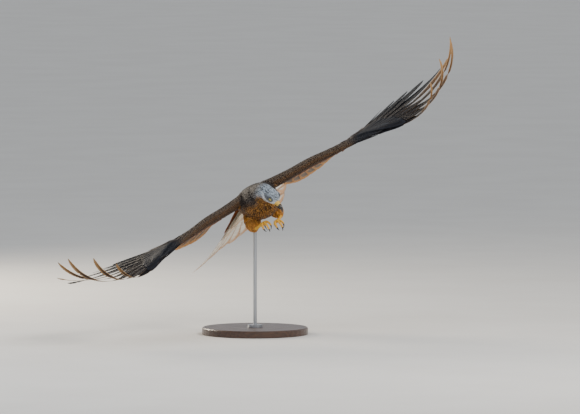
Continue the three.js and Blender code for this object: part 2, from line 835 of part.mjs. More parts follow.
const legs = { right: leg("right"), left: leg("left") };

// Stand, made upright and turned into the bird's frame for the cut
const place = new THREE.Matrix4()
  .makeRotationX(-NOSE_UP * DEG)
  .multiply(new THREE.Matrix4().makeRotationY(-BANK * DEG));
const over = point(...OVER_BASE).applyMatrix4(place);
const birdAt = point(-over.x, -over.y, HEIGHT);
place.setPosition(birdAt);
const unplace = place.clone().invert();
const rodTop = HEIGHT + over.z - 62 + ROD_INTO_BODY;
const base = closed(
  new THREE.LatheGeometry(
    [
      new THREE.Vector2(0, 0),
      new THREE.Vector2(BASE_RADIUS, 0),
      new THREE.Vector2(BASE_RADIUS, BASE_HEIGHT - BASE_BEVEL),
      new THREE.Vector2(BASE_RADIUS - BASE_BEVEL, BASE_HEIGHT),
      new THREE.Vector2(0, BASE_HEIGHT),
    ],
    48,
  ).rotateX(Math.PI / 2),
);
const rodBottom = BASE_HEIGHT + GAP;
function rodShape(radius, top, flange) {
  const profile = [new THREE.Vector2(0, rodBottom)];
  if (flange) {
    profile.push(new THREE.Vector2(FLANGE_RADIUS, rodBottom));
    profile.push(new THREE.Vector2(FLANGE_RADIUS, rodBottom + FLANGE_HEIGHT));
  } else profile.push(new THREE.Vector2(radius, rodBottom));
  profile.push(new THREE.Vector2(radius, rodBottom + (flange ? FLANGE_HEIGHT : 0)));
  profile.push(new THREE.Vector2(radius, top));
  profile.push(new THREE.Vector2(0, top));
  return new THREE.LatheGeometry(profile, 24).rotateX(Math.PI / 2);
}
const rod = closed(rodShape(ROD_RADIUS, rodTop, true));
const rodHole = closed(
  rodShape(ROD_RADIUS + ROD_HOLE_CLEARANCE, rodTop + ROD_HOLE_CLEARANCE, false).applyMatrix4(unplace),
);
const torso = largest(torsoRaw.subtract(rodHole));

// Materials
const paint = (color, roughness, metalness = 0) =>
  new THREE.MeshStandardMaterial({ color, roughness, metalness });
const RUFOUS = paint(0x8a4f2c, 0.9);
const BROWN = paint(0x5a4636, 0.9);
const DARK = paint(0x2c2a2c, 0.85);
const PALE = paint(0xb9b2a8, 0.9);
const TAIL = paint(0xb5764a, 0.9);
const YELLOW = paint(0xd9a83a, 0.6);
const HORN = paint(0x25211f, 0.4);
const EYE = paint(0xd9cf9a, 0.1);
const WOOD = paint(0x4a3324, 0.5);
const STEEL = paint(0xb8babc, 0.35, 1);

// The bird in its own frame, turned into the air above the base
const bird = new THREE.Group();
bird.applyMatrix4(place);
function addTo(group, name, shape, material) {
  const mesh = new THREE.Mesh(geometryOf(shape), material);
  mesh.name = name;
  group.add(mesh);
}
const clearHead = (shape) => largest(onHead(shape));
addTo(bird, "torso", torso, RUFOUS);
addTo(bird, "neck", neck, PALE);
addTo(bird, "head", largest(onHead(headLocal).subtract(torsoGrown)), PALE);
addTo(bird, "cere", clearHead(cereLocal), YELLOW);
addTo(bird, "bill_upper", clearHead(billUpperLocal), HORN);
addTo(bird, "bill_lower", clearHead(sectionLoft(BILL_LOWER, 14)), HORN);
addTo(bird, "eye_left", onHead(eyes[0]), EYE);
addTo(bird, "eye_right", onHead(eyes[1]), EYE);
addTo(bird, "tail", tail, TAIL);
addTo(bird, "wing_arm_left", armLeft, BROWN);
addTo(bird, "wing_hand_left", handLeft, DARK);
addTo(bird, "wing_arm_right", mirrored(armLeft), BROWN);
addTo(bird, "wing_hand_right", mirrored(handLeft), DARK);
for (const side of ["left", "right"]) {
  addTo(bird, "thigh_" + side, legs[side].thigh, RUFOUS);
  const clear = legs[side].claws.map((claw) => largest(claw.subtract(legs[side].foot)));
  addTo(bird, "foot_" + side, largest(legs[side].foot), YELLOW);
  clear.forEach((claw, k) => addTo(bird, "claw_" + side + "_" + (k + 1), claw, HORN));
}

const kite = new THREE.Group();
kite.add(bird);
addTo(kite, "stand_base", base, WOOD);
addTo(kite, "stand_rod", rod, STEEL);

export default kite;
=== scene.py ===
# %% [markdown]
# # A red kite on a display stand
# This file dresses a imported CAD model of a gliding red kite, and each step can be read and run on its own.
# The bird is life size. It banks on a steel rod, with its head bent down to its lifted feet.
# The solids say where every part is. Here they get one skin, feathers, eyes, horn and a finished stand.
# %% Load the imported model
import math

import bpy
import numpy as np
from mathutils import Matrix, Vector, noise
from mathutils.bvhtree import BVHTree


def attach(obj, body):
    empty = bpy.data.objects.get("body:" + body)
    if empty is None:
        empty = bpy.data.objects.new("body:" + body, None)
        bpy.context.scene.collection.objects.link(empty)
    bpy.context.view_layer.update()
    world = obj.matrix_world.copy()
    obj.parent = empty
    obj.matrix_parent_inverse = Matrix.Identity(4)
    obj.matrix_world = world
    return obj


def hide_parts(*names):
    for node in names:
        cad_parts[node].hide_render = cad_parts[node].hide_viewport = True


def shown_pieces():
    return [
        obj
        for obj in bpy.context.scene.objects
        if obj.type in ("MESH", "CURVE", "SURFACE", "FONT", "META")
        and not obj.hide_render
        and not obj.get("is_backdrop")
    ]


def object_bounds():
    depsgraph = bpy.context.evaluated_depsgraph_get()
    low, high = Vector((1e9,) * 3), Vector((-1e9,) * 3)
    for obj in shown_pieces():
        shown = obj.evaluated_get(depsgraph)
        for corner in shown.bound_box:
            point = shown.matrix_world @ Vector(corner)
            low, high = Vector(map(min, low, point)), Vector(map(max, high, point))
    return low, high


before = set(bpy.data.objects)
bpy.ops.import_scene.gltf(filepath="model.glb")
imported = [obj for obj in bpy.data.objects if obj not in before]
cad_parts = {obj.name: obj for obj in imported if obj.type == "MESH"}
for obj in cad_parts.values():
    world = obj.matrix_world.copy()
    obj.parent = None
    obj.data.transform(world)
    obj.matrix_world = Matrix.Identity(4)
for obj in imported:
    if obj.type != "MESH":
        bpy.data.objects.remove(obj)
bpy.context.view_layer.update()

# %% [markdown]
# ## The bird's own frame
# A bird is easiest to describe level: x to its left, y to its tail, z up, in millimetres.
# The whole bird is then banked and tipped once. Doing it the other way round, with every feather typed in
# the tilted pose, would make each number hard to read, so every later cell works in the level frame.
# %% From the bird's frame to the scene
BANK = math.radians(28)
NOSE_UP = math.radians(8)
HEIGHT = 0.440
# The place in the bird, in metres, that stands over the middle of the base
OVER_BASE = np.array([0.0, 0.020, -0.015])
TURN = np.array(Matrix.Rotation(-NOSE_UP, 3, "X") @ Matrix.Rotation(-BANK, 3, "Y"))
OVER = TURN @ OVER_BASE
BIRD_AT = np.array([-OVER[0], -OVER[1], HEIGHT])


def to_scene(points):
    """Bird-frame millimetres to scene metres."""
    return np.asarray(points, float) @ TURN.T * 0.001 + BIRD_AT


def ahead(x, forward, up):
    return np.array([x, -forward, up], float)


def unit(v):
    v = np.asarray(v, float)
    return v / np.maximum(np.linalg.norm(v, axis=-1, keepdims=True), 1e-9)


def curve_through(points, count):
    """A smooth curve of count points through a table of rows, with any number of values in a row."""
    rows = np.asarray(points, float)
    padded = np.vstack([2 * rows[0] - rows[1], rows, 2 * rows[-1] - rows[-2]])
    spots = np.linspace(0, len(rows) - 1 - 1e-9, count)
    k = spots.astype(int)
    t = (spots - k)[:, None]
    a, b, c, d = (padded[k + i] for i in range(4))
    return 0.5 * (2 * b + (c - a) * t + (2 * a - 5 * b + 4 * c - d) * t**2 + (3 * b - a - 3 * c + d) * t**3)


print("middle of the back at", BIRD_AT.round(3))

# %% [markdown]
# ## Camera
# The picture was taken with a long lens, slightly above the bird and a little to its right side.
# A long lens far away keeps both wing tips the same scale. A short lens close by would swell the head.
# %% Camera
CAMERA_AZIMUTH = math.radians(-15)
CAMERA_ELEVATION = math.radians(4)
CAMERA_DISTANCE = 25.0
VIEW_WIDTH = 1.856
AIM_RIGHT, AIM_DOWN = 0.1142, 0.0307
toward = np.array([
    math.sin(CAMERA_AZIMUTH) * math.cos(CAMERA_ELEVATION),
    -math.cos(CAMERA_AZIMUTH) * math.cos(CAMERA_ELEVATION),
    math.sin(CAMERA_ELEVATION),
])
rightward = np.array([math.cos(CAMERA_AZIMUTH), math.sin(CAMERA_AZIMUTH), 0.0])
upward = np.cross(toward, rightward)
look_at = BIRD_AT + AIM_RIGHT * rightward - AIM_DOWN * upward
camera_data = bpy.data.cameras.new("camera")
camera_data.sensor_width = 36
camera_data.lens = 36 * CAMERA_DISTANCE / VIEW_WIDTH
camera_data.clip_start = 1
camera_data.clip_end = 400
camera = bpy.data.objects.new("camera", camera_data)
camera.matrix_world = Matrix((
    (rightward[0], upward[0], toward[0], 0),
    (rightward[1], upward[1], toward[1], 0),
    (rightward[2], upward[2], toward[2], 0),
    (0, 0, 0, 1),
))
camera.location = look_at + toward * CAMERA_DISTANCE
bpy.context.scene.collection.objects.link(camera)
bpy.context.scene.camera = camera
print("lens", round(camera_data.lens), "mm")

# %% [markdown]
# ## Meshes from arrays
# Thousands of feathers made one object at a time would take minutes. Numpy arrays of points and quads,
# poured into one mesh, take a second. Each piece keeps its colours as named attributes on its points.
# %% One mesh from arrays
def srgb(code):
    """A colour code such as 8f4f1c as linear red, green, blue."""
    v = np.array([int(code[i:i + 2], 16) for i in (0, 2, 4)]) / 255
    return np.where(v <= 0.04045, v / 12.92, ((v + 0.055) / 1.055) ** 2.4)


def mesh_piece(name, points, quads, point_uv=None, bake_uv=None, colours=None):
    """A mesh object from bird-frame points and four-cornered faces, linked to the scene."""
    mesh = bpy.data.meshes.new(name)
    mesh.vertices.add(len(points))
    mesh.vertices.foreach_set("co", to_scene(points).astype(np.float32).ravel())
    quads = np.asarray(quads, np.int32)
    mesh.loops.add(quads.size)
    mesh.loops.foreach_set("vertex_index", quads.ravel())
    mesh.polygons.add(len(quads))
    mesh.polygons.foreach_set("loop_start", np.arange(0, quads.size, 4, dtype=np.int32))
    mesh.update(calc_edges=True)
    corners = quads.ravel()
    for label, uv in (("OFBake", bake_uv), ("Vane", point_uv)):
        if uv is not None:
            layer = mesh.uv_layers.new(name=label)
            layer.data.foreach_set("uv", np.asarray(uv, np.float32)[corners].ravel())
    for label, rgb in (colours or {}).items():
        attribute = mesh.attributes.new(label, "FLOAT_COLOR", "POINT")
        rgba = np.ones((len(points), 4), np.float32)
        rgba[:, :3] = rgb
        attribute.data.foreach_set("color", rgba.ravel())
    mesh.polygons.foreach_set("use_smooth", np.ones(len(quads), bool))
    mesh.update()
    piece = bpy.data.objects.new(name, mesh)
    bpy.context.scene.collection.objects.link(piece)
    return piece


def tube_quads(rings, sides, start=0):
    """Quads round a tube of rings, closed at both ends by strips across."""
    k, j = np.meshgrid(np.arange(rings - 1), np.arange(sides), indexing="ij")
    p = start + k * sides + j
    q = start + k * sides + (j + 1) % sides
    round_faces = np.stack([p, q, q + sides, p + sides], -1).reshape(-1, 4)
    half = sides // 2
    caps = []
    for first, flip in ((start, True), (start + (rings - 1) * sides, False)):
        for i in range(half - 1):
            a, b = first + i, first + i + 1
            c, d = first + sides - 2 - i, first + sides - 1 - i
            caps.append([d, c, b, a] if flip else [a, b, c, d])
    return np.vstack([round_faces, np.array(caps)])


def joined(parts):
    """Several (points, quads) as one."""
    points, quads, base = [], [], 0
    for p, q in parts:
        points.append(p)
        quads.append(q + base)
        base += len(p)
    return np.vstack(points), np.vstack(quads)


print("a tube of 3 rings and 8 sides has", len(tube_quads(3, 8)), "quads")

# %% [markdown]
# ## Forms under the plumage
# Torso, neck, head, thighs, wing flesh and tail root are lofts through the same sections as the solids,
# drawn in by the depth of the coat. Fused by a voxel remesh they make one skin with no seam.
# Sculpting the skin by hand would look as good, but would not stay true to the solids when they change.
# %% Sections of the body
# Each row of the torso: back, middle height, half width, half height up and half height down.
# Neck, rump and thighs: x, y, z, radius
TORSO = [
    [156, -14, 24, 9, 12], [138, -8, 34, 18, 22], [108, -3, 43, 29, 33], [72, -4, 53, 38, 42],
    [30, -6, 62, 47, 55], [-14, -10, 67, 54, 66], [-52, -11, 66, 55, 68], [-82, -11, 57, 50, 61],
    [-102, -11, 44, 39, 47], [-114, -11, 28, 24, 30],
]
NECK = [[2, -82, 3, 39], [5, -102, 2, 36], [8, -119, -2, 32], [12, -131, -7, 27]]
RUMP = [[0, 136, -12, 17], [2, 156, -17, 17], [6, 176, -23, 14], [11, 198, -30, 9]]
THIGHS = {
    "right": [
        [-36, -2, -42, 28], [-47, -18, -60, 30], [-57, -32, -76, 24],
        [-62, -44, -87, 14], [-62, -50, -89, 7.5],
    ],
    "left": [[36, 0, -42, 27], [36, -16, -62, 28], [35, -33, -80, 21], [34, -46, -90, 12], [34, -51, -91, 7]],
}


def body_loft(sections, sides, inset, steps=3):
    """Rings through rows of back, middle height, half width, half height up and down."""
    rows = curve_through(sections, (len(sections) - 1) * steps + 1)
    a = 2 * np.pi * np.arange(sides) / sides
    rings = []
    for back, middle, half, high, low in rows:
        tall = np.where(np.sin(a) > 0, high, low)
        x = max(half - inset, 1) * np.cos(a)
        z = middle + np.maximum(tall - inset, 1) * np.sin(a)
        rings.append(np.stack([x, np.full(sides, back), z], -1))
    return np.vstack(rings), tube_quads(len(rows), sides)


def limb_loft(path, sides, inset=0.0, steps=4):
    """A round limb along rows of x, y, z, radius."""
    rows = curve_through(path, (len(path) - 1) * steps + 1)
    centre, radius = rows[:, :3], np.maximum(rows[:, 3] - inset, 0.15)
    way = unit(np.gradient(centre, axis=0))
    side = np.tile([1.0, 0, 0], (len(rows), 1))
    side -= (side * way).sum(1, keepdims=True) * way
    weak = np.linalg.norm(side, axis=1) < 0.3
    side[weak] = [0, 1, 0] - way[weak] * way[weak][:, 1:2]
    side = unit(side)
    top = np.cross(way, side)
    a = 2 * np.pi * np.arange(sides) / sides
    points = centre[:, None] + radius[:, None, None] * (
        np.cos(a)[None, :, None] * side[:, None] + np.sin(a)[None, :, None] * top[:, None])
    return points.reshape(-1, 3), tube_quads(len(rows), sides)


print("sections: torso", len(TORSO), "neck", len(NECK), "rump", len(RUMP))

# %% [markdown]
# ## The head's frame
# The head is turned down and to its left, so it has a frame of its own: forward along the bill, up to the
# crown. Its sections, brow and eyes are easy to read there, and one turn puts them all in place.
# %% Sections of the head
HEAD_AT = np.array([15.0, -140.0, -16.0])
head_forward = unit([0.103, -0.519, -0.849])
head_crown = np.array([0.387, -0.765, 0.514])
head_crown = unit(head_crown - head_crown @ head_forward * head_forward)
head_left = np.cross(head_crown, head_forward)
HEAD_TURN = np.stack([head_left, -head_forward, head_crown], 1)
# Each row: back, middle height, half width, half height up and half height down
HEAD = [
    [35, 0, 9, 9, 9], [29, 0, 17, 16, 16], [20, 0, 23, 20.5, 21], [8, 0, 26, 22.5, 23.5],
    [-4, 0, 25.5, 22, 22.5], [-13, -0.5, 22.5, 20, 19.5], [-21, -2.5, 17, 16.5, 15],
    [-26, -4, 13, 13.2, 11.5], [-30, -5, 10.6, 10.8, 9],
]
BROW = [
    [11, -22, 6, 1.4], [15, -17.5, 9.2, 3], [18.6, -11, 11.2, 3.8], [21, -3, 10.6, 3.4], [22.6, 5, 8.6, 1.6],
]
EYE_RADIUS = 7.0
EYE_AT = np.array([15.6, -11.0, 4.5])
EYE_TURN = math.radians(24)


def on_head(points):
    """From the head's own frame to the bird's."""
    return np.asarray(points, float) @ HEAD_TURN.T + HEAD_AT


def off_head(points):
    return (np.asarray(points, float) - HEAD_AT) @ HEAD_TURN


print("head at", HEAD_AT, "in the bird's frame")

# %% [markdown]
# ## The arm and hand
# Under the feathers a wing is flesh and bone in the form of a blunt aerofoil. Each row tells where one
# section stands: out, forward, up, chord, thickness and incidence in degrees.
# %% Sections of the wing
WING = [
    [38, 46, 18, 122, 44, 8], [70, 57, 17, 122, 40, 10], [130, 80, 17, 116, 35, 11],
    [195, 106, 18, 106, 33, 11], [255, 132, 13, 92, 30, 8], [300, 154, 9, 77, 27, 3],
    [330, 168, 5, 66, 24, -4], [365, 186, 1, 52, 20, -10], [400, 207, -3, 38, 16, -12],
    [430, 222, -5, 24, 11, -12], [444, 229, -6, 9, 5, -12],
]
AEROFOIL = [
    [0, 0.02], [0.05, 0.33], [0.17, 0.5], [0.4, 0.46], [0.7, 0.26], [1, 0.06],
    [1, -0.06], [0.66, -0.2], [0.36, -0.42], [0.15, -0.48], [0.04, -0.3],
]


def wing_section(x):
    rows = np.array(WING, float)
    return np.array([np.interp(x, rows[:, 0], rows[:, c]) for c in range(6)])


def on_section(section, share, high, inset=0.0):
    x, forward, up, chord, thick, incidence = section
    c, s = math.cos(math.radians(incidence)), math.sin(math.radians(incidence))
    back = (share - 0.5) * max(chord - 2 * inset, 4) + 0.5 * chord
    lift = high * max(thick - 2 * inset, 2)
    return ahead(x, forward - back * c + lift * s, up - back * s + lift * c)


def wing_loft(inset, side):
    rows = curve_through(WING, 46)
    outline = np.array(AEROFOIL)
    outline = np.vstack([outline, (outline[0] + outline[-1]) / 2])
    rings = [np.array([on_section(r, share, high, inset) for share, high in outline]) for r in rows]
    points = np.vstack(rings) * [side, 1, 1]
    quads = tube_quads(len(rows), len(outline))
    return points, quads if side > 0 else quads[:, ::-1]


print("wing flesh to", WING[-1][0], "mm out")

# %% [markdown]
# ## One skin
# The lofts are thrown together and remeshed into a single closed surface, then relaxed a little so that
# the neck, shoulders and thighs flow into one another. An unwrap of this skin also serves the feathers:
# each feather takes its place on the texture from the spot where it is rooted.
# %% Fuse the skin
COAT = {"torso": 6.0, "neck": 5.0, "head": 2.8, "thigh": 4.5, "wing": 2.6, "rump": 4.0}
VOXEL = 2.6
flesh = {
    "torso": body_loft(TORSO, 40, COAT["torso"]),
    "neck": limb_loft(NECK, 32, COAT["neck"]),
    "rump": limb_loft(RUMP, 24, COAT["rump"]),
    "thigh_right": limb_loft(THIGHS["right"], 24, COAT["thigh"]),
    "thigh_left": limb_loft(THIGHS["left"], 24, COAT["thigh"]),
    "wing_left": wing_loft(COAT["wing"], 1),
    "wing_right": wing_loft(COAT["wing"], -1),
}
head_points, head_quads = body_loft(HEAD, 40, COAT["head"])
flesh["head"] = (on_head(head_points), head_quads)
brows = []
for way in (1, -1):
    points, quads = limb_loft([[way * x, y, z - 0.6, r] for x, y, z, r in BROW], 16, 0.2)
    brows.append((on_head(points), quads))


def fused(points, quads, voxel, relax):
    """The outside of overlapping closed forms, as points and quads of one even mesh."""
    mesh = bpy.data.meshes.new("rough")
    mesh.from_pydata(points.tolist(), [], quads.tolist())
    rough = bpy.data.objects.new("rough", mesh)
    bpy.context.scene.collection.objects.link(rough)
    remesh = rough.modifiers.new("fuse", "REMESH")
    remesh.mode = "VOXEL"
    remesh.voxel_size = voxel
    soften = rough.modifiers.new("relax", "SMOOTH")
    soften.factor = 0.5
    soften.iterations = relax
    done = bpy.data.meshes.new_from_object(rough.evaluated_get(bpy.context.evaluated_depsgraph_get()))
    bpy.data.objects.remove(rough)
    spots = np.zeros(len(done.vertices) * 3, np.float32)
    done.vertices.foreach_get("co", spots)
    corners = np.zeros(len(done.loops), np.int32)
    done.loops.foreach_get("vertex_index", corners)
    return spots.reshape(-1, 3).astype(float), corners.reshape(-1, 4)


skin_bird, skin_faces = fused(*joined([*flesh.values(), *brows]), VOXEL, 6)
print("skin of", len(skin_faces), "quads")

# %% [markdown]
# ## Unwrap of the skin
# The skin is cut into patches by the part of the body it belongs to and the way it faces, and each patch
# is laid flat on its own square. It is plainer than a seam-by-seam unwrap, and never overlaps itself.
# %% Parts and unwrap
def search_tree(points, faces):
    return BVHTree.FromPolygons([tuple(p) for p in points], [tuple(map(int, f)) for f in faces])


parts = list(flesh)
trees = {part: search_tree(*flesh[part]) for part in parts}
skin_tree = search_tree(skin_bird, skin_faces)
corner_points = skin_bird[skin_faces]
skin_middles = corner_points.mean(1)
across_quad = np.cross(corner_points[:, 2] - corner_points[:, 0], corner_points[:, 3] - corner_points[:, 1])
skin_normals = unit(across_quad)
if (skin_normals * (skin_middles - skin_middles.mean(0))).sum() < 0:
    skin_normals = -skin_normals
skin_part = np.zeros(len(skin_faces), int)
for i, middle in enumerate(skin_middles):
    skin_part[i] = int(np.argmin([trees[part].find_nearest(middle)[3] for part in parts]))
steepest = np.argmax(np.abs(skin_normals), 1)
facing = steepest * 2 + (skin_normals[np.arange(len(skin_faces)), steepest] > 0)
# Eight parts facing six ways fill 48 of the 49 squares, and a feather takes up a tiny one of its own
PATCHES_WIDE = 7
FEATHER_ON_TEXTURE = 0.003
skin_uv = np.zeros((len(skin_faces), 4, 2))
for cell, (p, f) in enumerate((p, f) for p in range(len(parts)) for f in range(6)):
    chosen = (skin_part == p) & (facing == f)
    if not chosen.any():
        continue
    flat_axes = [a for a in range(3) if a != f // 2]
    flat_points = corner_points[chosen][:, :, flat_axes]
    low = flat_points.min((0, 1))
    size = max((flat_points.max((0, 1)) - low).max(), 1e-6)
    square = np.array([cell % PATCHES_WIDE, cell // PATCHES_WIDE])
    skin_uv[chosen] = (square + 0.02 + 0.96 * (flat_points - low) / size) / PATCHES_WIDE
face_uv = skin_uv.mean(1)
print("faces by part", {parts[k]: int((skin_part == k).sum()) for k in range(len(parts))})

# %% [markdown]
# ## Where each colour grows
# A red kite is rufous below with dark shaft streaks, dark brown with pale scaly edges above, and pale grey
# and streaked on the head. Each feather asks for its plume colour, its edge colour and three marks: the dark
# streak along the shaft, the strength of the pale edge, and the bars. The rules use places on the body,
# so skin and feathers always agree.
# %% Colours of the plumage
CROWN = srgb("a3b0bd")
FACE = srgb("ced2d5")
NAPE = srgb("463f3c")
NAPE_EDGE = srgb("918e8b")
MANTLE = srgb("2d241f")
MANTLE_EDGE = srgb("7d746d")
ARM = srgb("281f1b")
ARM_EDGE = srgb("9a8672")
# Blue-black hand: the kite's black-brown with a painted blue reflection of the sky
HAND = srgb("15171d")
BREAST = srgb("8c5e2a")
BREAST_EDGE = srgb("d09a4c")
BELLY = srgb("a06a2a")
THIGH = srgb("b4782f")
VENT = srgb("f0e2c8")
UNDERWING = srgb("70442a")
RUFOUS = srgb("ad6430")
STREAK = srgb("17110f")


def smooth(low, high, value):
    t = np.clip((np.asarray(value, float) - low) / (high - low), 0, 1)
    return t * t * (3 - 2 * t)


def blend(a, b, share):
    share = np.asarray(share, float)[..., None]
    return a * (1 - share) + b * share


def patches(points, size, seed):
    """Smooth noise from 0 to 1, in patches of the given size along the three axes."""
    spots = points / np.array(size) + seed
    return np.array([noise.noise(Vector(p)) for p in spots]) * 0.5 + 0.5


def plumage(points, normals, part):
    """Plume colour, edge colour and marks (streak, edge, bars) for roots on the skin."""
    x, y = np.abs(points[:, 0]), points[:, 1]
    over = smooth(-0.25, 0.35, normals[:, 2])
    beneath = smooth(-0.35, -0.65, normals[:, 2])
    below = blend(BREAST, BELLY, smooth(-60, 10, y))
    below = blend(below, VENT, smooth(85, 120, y) * beneath)
    above = blend(MANTLE, RUFOUS, smooth(120, 160, y) * 0.8)
    plume = blend(below, above, over)
    edge = blend(BREAST_EDGE, MANTLE_EDGE, over)
    streak = 0.9 - 0.45 * smooth(-20, 60, y) * (1 - over)
    fringe = 0.62 - 0.14 * over
    nape = (part == parts.index("neck")).astype(float)
    nape = np.maximum(nape, smooth(-84, -114, y) * (x < 60) * over)
    from_head = np.linalg.norm(points - HEAD_AT, axis=1)
    hood = blend(CROWN, NAPE, smooth(28, 56, from_head))
    plume = blend(plume, blend(below, hood, smooth(-0.5, 0.0, normals[:, 2])), nape * 0.9)
    edge = blend(edge, NAPE_EDGE, nape * smooth(-0.5, 0.0, normals[:, 2]) * 0.9)
    streaky = smooth(0.5, 0.62, patches(points, (5.5, 20, 5.5), 3.7)) * (0.75 - 0.35 * smooth(10, 60, y))
    head = part == parts.index("head")
    if head.any():
        local = off_head(points[head])
        crown = smooth(-2, 9, local[:, 2])
        throat = smooth(-3, -15, local[:, 2])
        shade = blend(FACE, CROWN, crown)
        shade = blend(shade, srgb("b3a895"), throat * 0.8)
        mirror = np.stack([np.abs(local[:, 0]), local[:, 1], local[:, 2]], -1)
        from_eye = np.linalg.norm((mirror - EYE_AT - [5, 0, 0]) * [1, 0.62, 1.15], axis=1)
        # A dark band round the eye: partly the kite's dark feathering there, partly painted shade under the
        # brow
        shade = blend(shade, srgb("34343a"), smooth(13.0, 8.0, from_eye) * 0.85)
        plume[head] = shade
        edge[head] = blend(shade, srgb("dde0e3"), 0.6)
        streak[head] = 0.35 + 0.5 * crown + 0.3 * throat
        fringe[head] = 0.6
        strength = 0.2 + 0.6 * crown + 0.4 * throat
        streaky[head] = smooth(0.5, 0.6, patches(local, (2.6, 11, 2.6), 8.2)) * strength
        streaky[head] += 0.25 * smooth(8, 30, local[:, 1]) * (streaky[head] > 0.1)
    for k, name in enumerate(parts):
        here = part == k
        if not here.any():
            continue
        if name.startswith("thigh"):
            plume[here] = blend(THIGH, BELLY, over[here] * 0.4)
            edge[here] = srgb("d0924e")
            streak[here] = 0.35
            streaky[here] *= 0.5
        elif name == "rump":
            streaky[here] *= 0.4
            pale = beneath[here] * smooth(190, 172, y[here])
            plume[here] = blend(RUFOUS, VENT, pale)
            edge[here] = srgb("c48450")
            streak[here] = 0.5
        elif name.startswith("wing"):
            out = smooth(300, 350, x[here])
            fore = on_wing_share(points[here])
            top = smooth(-0.5, -0.1, normals[here][:, 2])
            inner = smooth(100, 60, x[here])
            streaky[here] = 0
            upper = blend(ARM, HAND, out)
            under = blend(srgb("3b2b22"), UNDERWING, smooth(0.25, 0.6, fore))
            under = blend(under, HAND, out * 0.9)
            plume[here] = blend(under, blend(upper, MANTLE, inner), top)
            # Toward the hand the edge greys lean blue: a painted reflection of the sky
            under_edge = blend(srgb("9a7650"), srgb("3a3a40"), out)
            edge[here] = blend(under_edge, blend(ARM_EDGE, srgb("565a64"), out), top)
            streak[here] = 0.6
            fringe[here] = 0.72 - 0.27 * out
    plume = blend(plume, STREAK, streaky * 0.85)
    edge = blend(edge, STREAK, streaky * 0.6)
    return plume, edge, np.stack([streak, fringe, np.zeros(len(points))], -1)


print("crown", CROWN.round(3), "mantle", MANTLE.round(3))

# %% [markdown]
# ## The way feathers lie
# Feathers point away from the bill, over the neck to the tail, down the thighs and back across the wings.
# A direction for every root is mixed from these and laid into the surface.
# A painted comb map would give the same, but could not follow a change of pose by itself.
# %% Direction, size and spacing
def lie(points, normals, part):
    """Unit directions along the skin in which feathers point."""
    n = len(points)
    way = np.tile([0.0, 1.0, 0.0], (n, 1))
    way[:, 0] += np.sign(points[:, 0]) * 0.15 * smooth(20, 60, np.abs(points[:, 0]))
    way[:, 2] -= 0.15
    for k, name in enumerate(parts):
        here = part == k
        if name == "head":
            local = off_head(points[here])
            back = np.stack([local[:, 0] * 0.012, np.ones(here.sum()), local[:, 2] * 0.02], -1)
            way[here] = back @ HEAD_TURN.T
        elif name == "neck":
            way[here] = blend(
                -head_forward, np.array([0.0, 1.0, 0.15]), smooth(-128, -95, points[here][:, 1]))
        elif name.startswith("thigh"):
            way[here] = [0.05 if name.endswith("right") else 0.0, -0.35, -1.0]
            way[here] += np.outer(smooth(-60, -40, points[here][:, 2]), [0, 1.1, 0.8])
        elif name.startswith("wing"):
            side = 1 if name.endswith("left") else -1
            out = smooth(260, 400, np.abs(points[here][:, 0]))
            back = np.stack([side * (0.22 + 0.75 * out), 1 - 0.45 * out, np.zeros(here.sum())], -1)
            front = np.array([side * 1.6, -0.65, -0.1])
            way[here] = blend(front, back, smooth(0.0, 0.11, on_wing_share(points[here])))
        elif name == "rump":
            way[here] = [0.06, 1.0, -0.3]
    way -= (way * normals).sum(1, keepdims=True) * normals
    return unit(way)


def feather_size(points, normals, part):
    """Length, width, spacing and stand of small feathers, in millimetres."""
    n = len(points)
    x, y = np.abs(points[:, 0]), points[:, 1]
    length = np.full(n, 19.5) + 8 * smooth(20, 90, y)
    width = np.full(n, 9.5) + 2 * smooth(20, 90, y)
    space = np.full(n, 4.5)
    stand = np.full(n, 2.8)
    shoulder = smooth(35, 60, x) * (normals[:, 2] > 0.2) * (y > -40)
    length += 10 * shoulder
    width += 3 * shoulder
    for k, name in enumerate(parts):
        here = part == k
        if name == "head":
            local = off_head(points[here])
            back = smooth(-24, 26, local[:, 1])
            crown = smooth(-2, 12, local[:, 2])
            length[here] = 3.6 + 8.5 * back + 1.2 * crown
            width[here] = 1.7 + 2.3 * back
            space[here] = 1.1 + 1.15 * back
            stand[here] = 0.8 + 1.0 * back
        elif name == "neck":
            length[here], width[here], space[here], stand[here] = 17, 5, 2.9, 2.6
        elif name.startswith("thigh"):
            low = smooth(-60, -88, points[here][:, 2])
            length[here] = 20 - 9 * low
            width[here] = 8.5 - 3.5 * low
            space[here] = 4.8 - 1.6 * low
            stand[here] = 3.4 - 1.4 * low
        elif name.startswith("wing"):
            fore = on_wing_share(points[here])
            out = smooth(280, 400, x[here])
            rear = smooth(0.03, 0.5, fore)
            length[here] = 8.5 + 13 * rear - 2 * out
            width[here] = 5.4 + 6 * rear - 1.3 * out
            space[here] = 2.9 + 2.6 * rear - 0.5 * out
            stand[here] = 1.2 + 1.1 * rear
        elif name == "rump":
            length[here], width[here], space[here], stand[here] = 30, 12, 5.5, 3.2
    return length, width, space, stand


def on_wing_share(points):
    """How far back of the leading edge a point of a wing lies, as a share of the chord."""
    rows = np.array(WING, float)
    x = np.abs(points[:, 0])
    front = np.interp(x, rows[:, 0], rows[:, 1])
    chord = np.interp(x, rows[:, 0], rows[:, 3])
    return np.clip((points[:, 1] + front) / chord, 0, 1)


longest = feather_size(skin_middles, skin_normals, skin_part)[0].max()
print("longest small feather", round(float(longest), 1), "mm")

# %% [markdown]
# ## Roots spread evenly
# Real plumage has its roots in even rows. Points thrown at random would clump and leave bald spots,
# so each candidate is kept only if no kept neighbour is closer than the spacing at that place.
# More candidates fall where the spacing is fine, as on the face.
# %% Scatter the roots
rng = np.random.default_rng(11)
WIDEST_SPACE = 6.0
CANDIDATES = 130000
# No feathers round the eye, on the cere, or behind this share of the wing, where the large vanes start
EYE_FRONT, EYE_CLEAR = 5.2, 6.6
CERE_START = -27.5
FLESH_END = 0.93


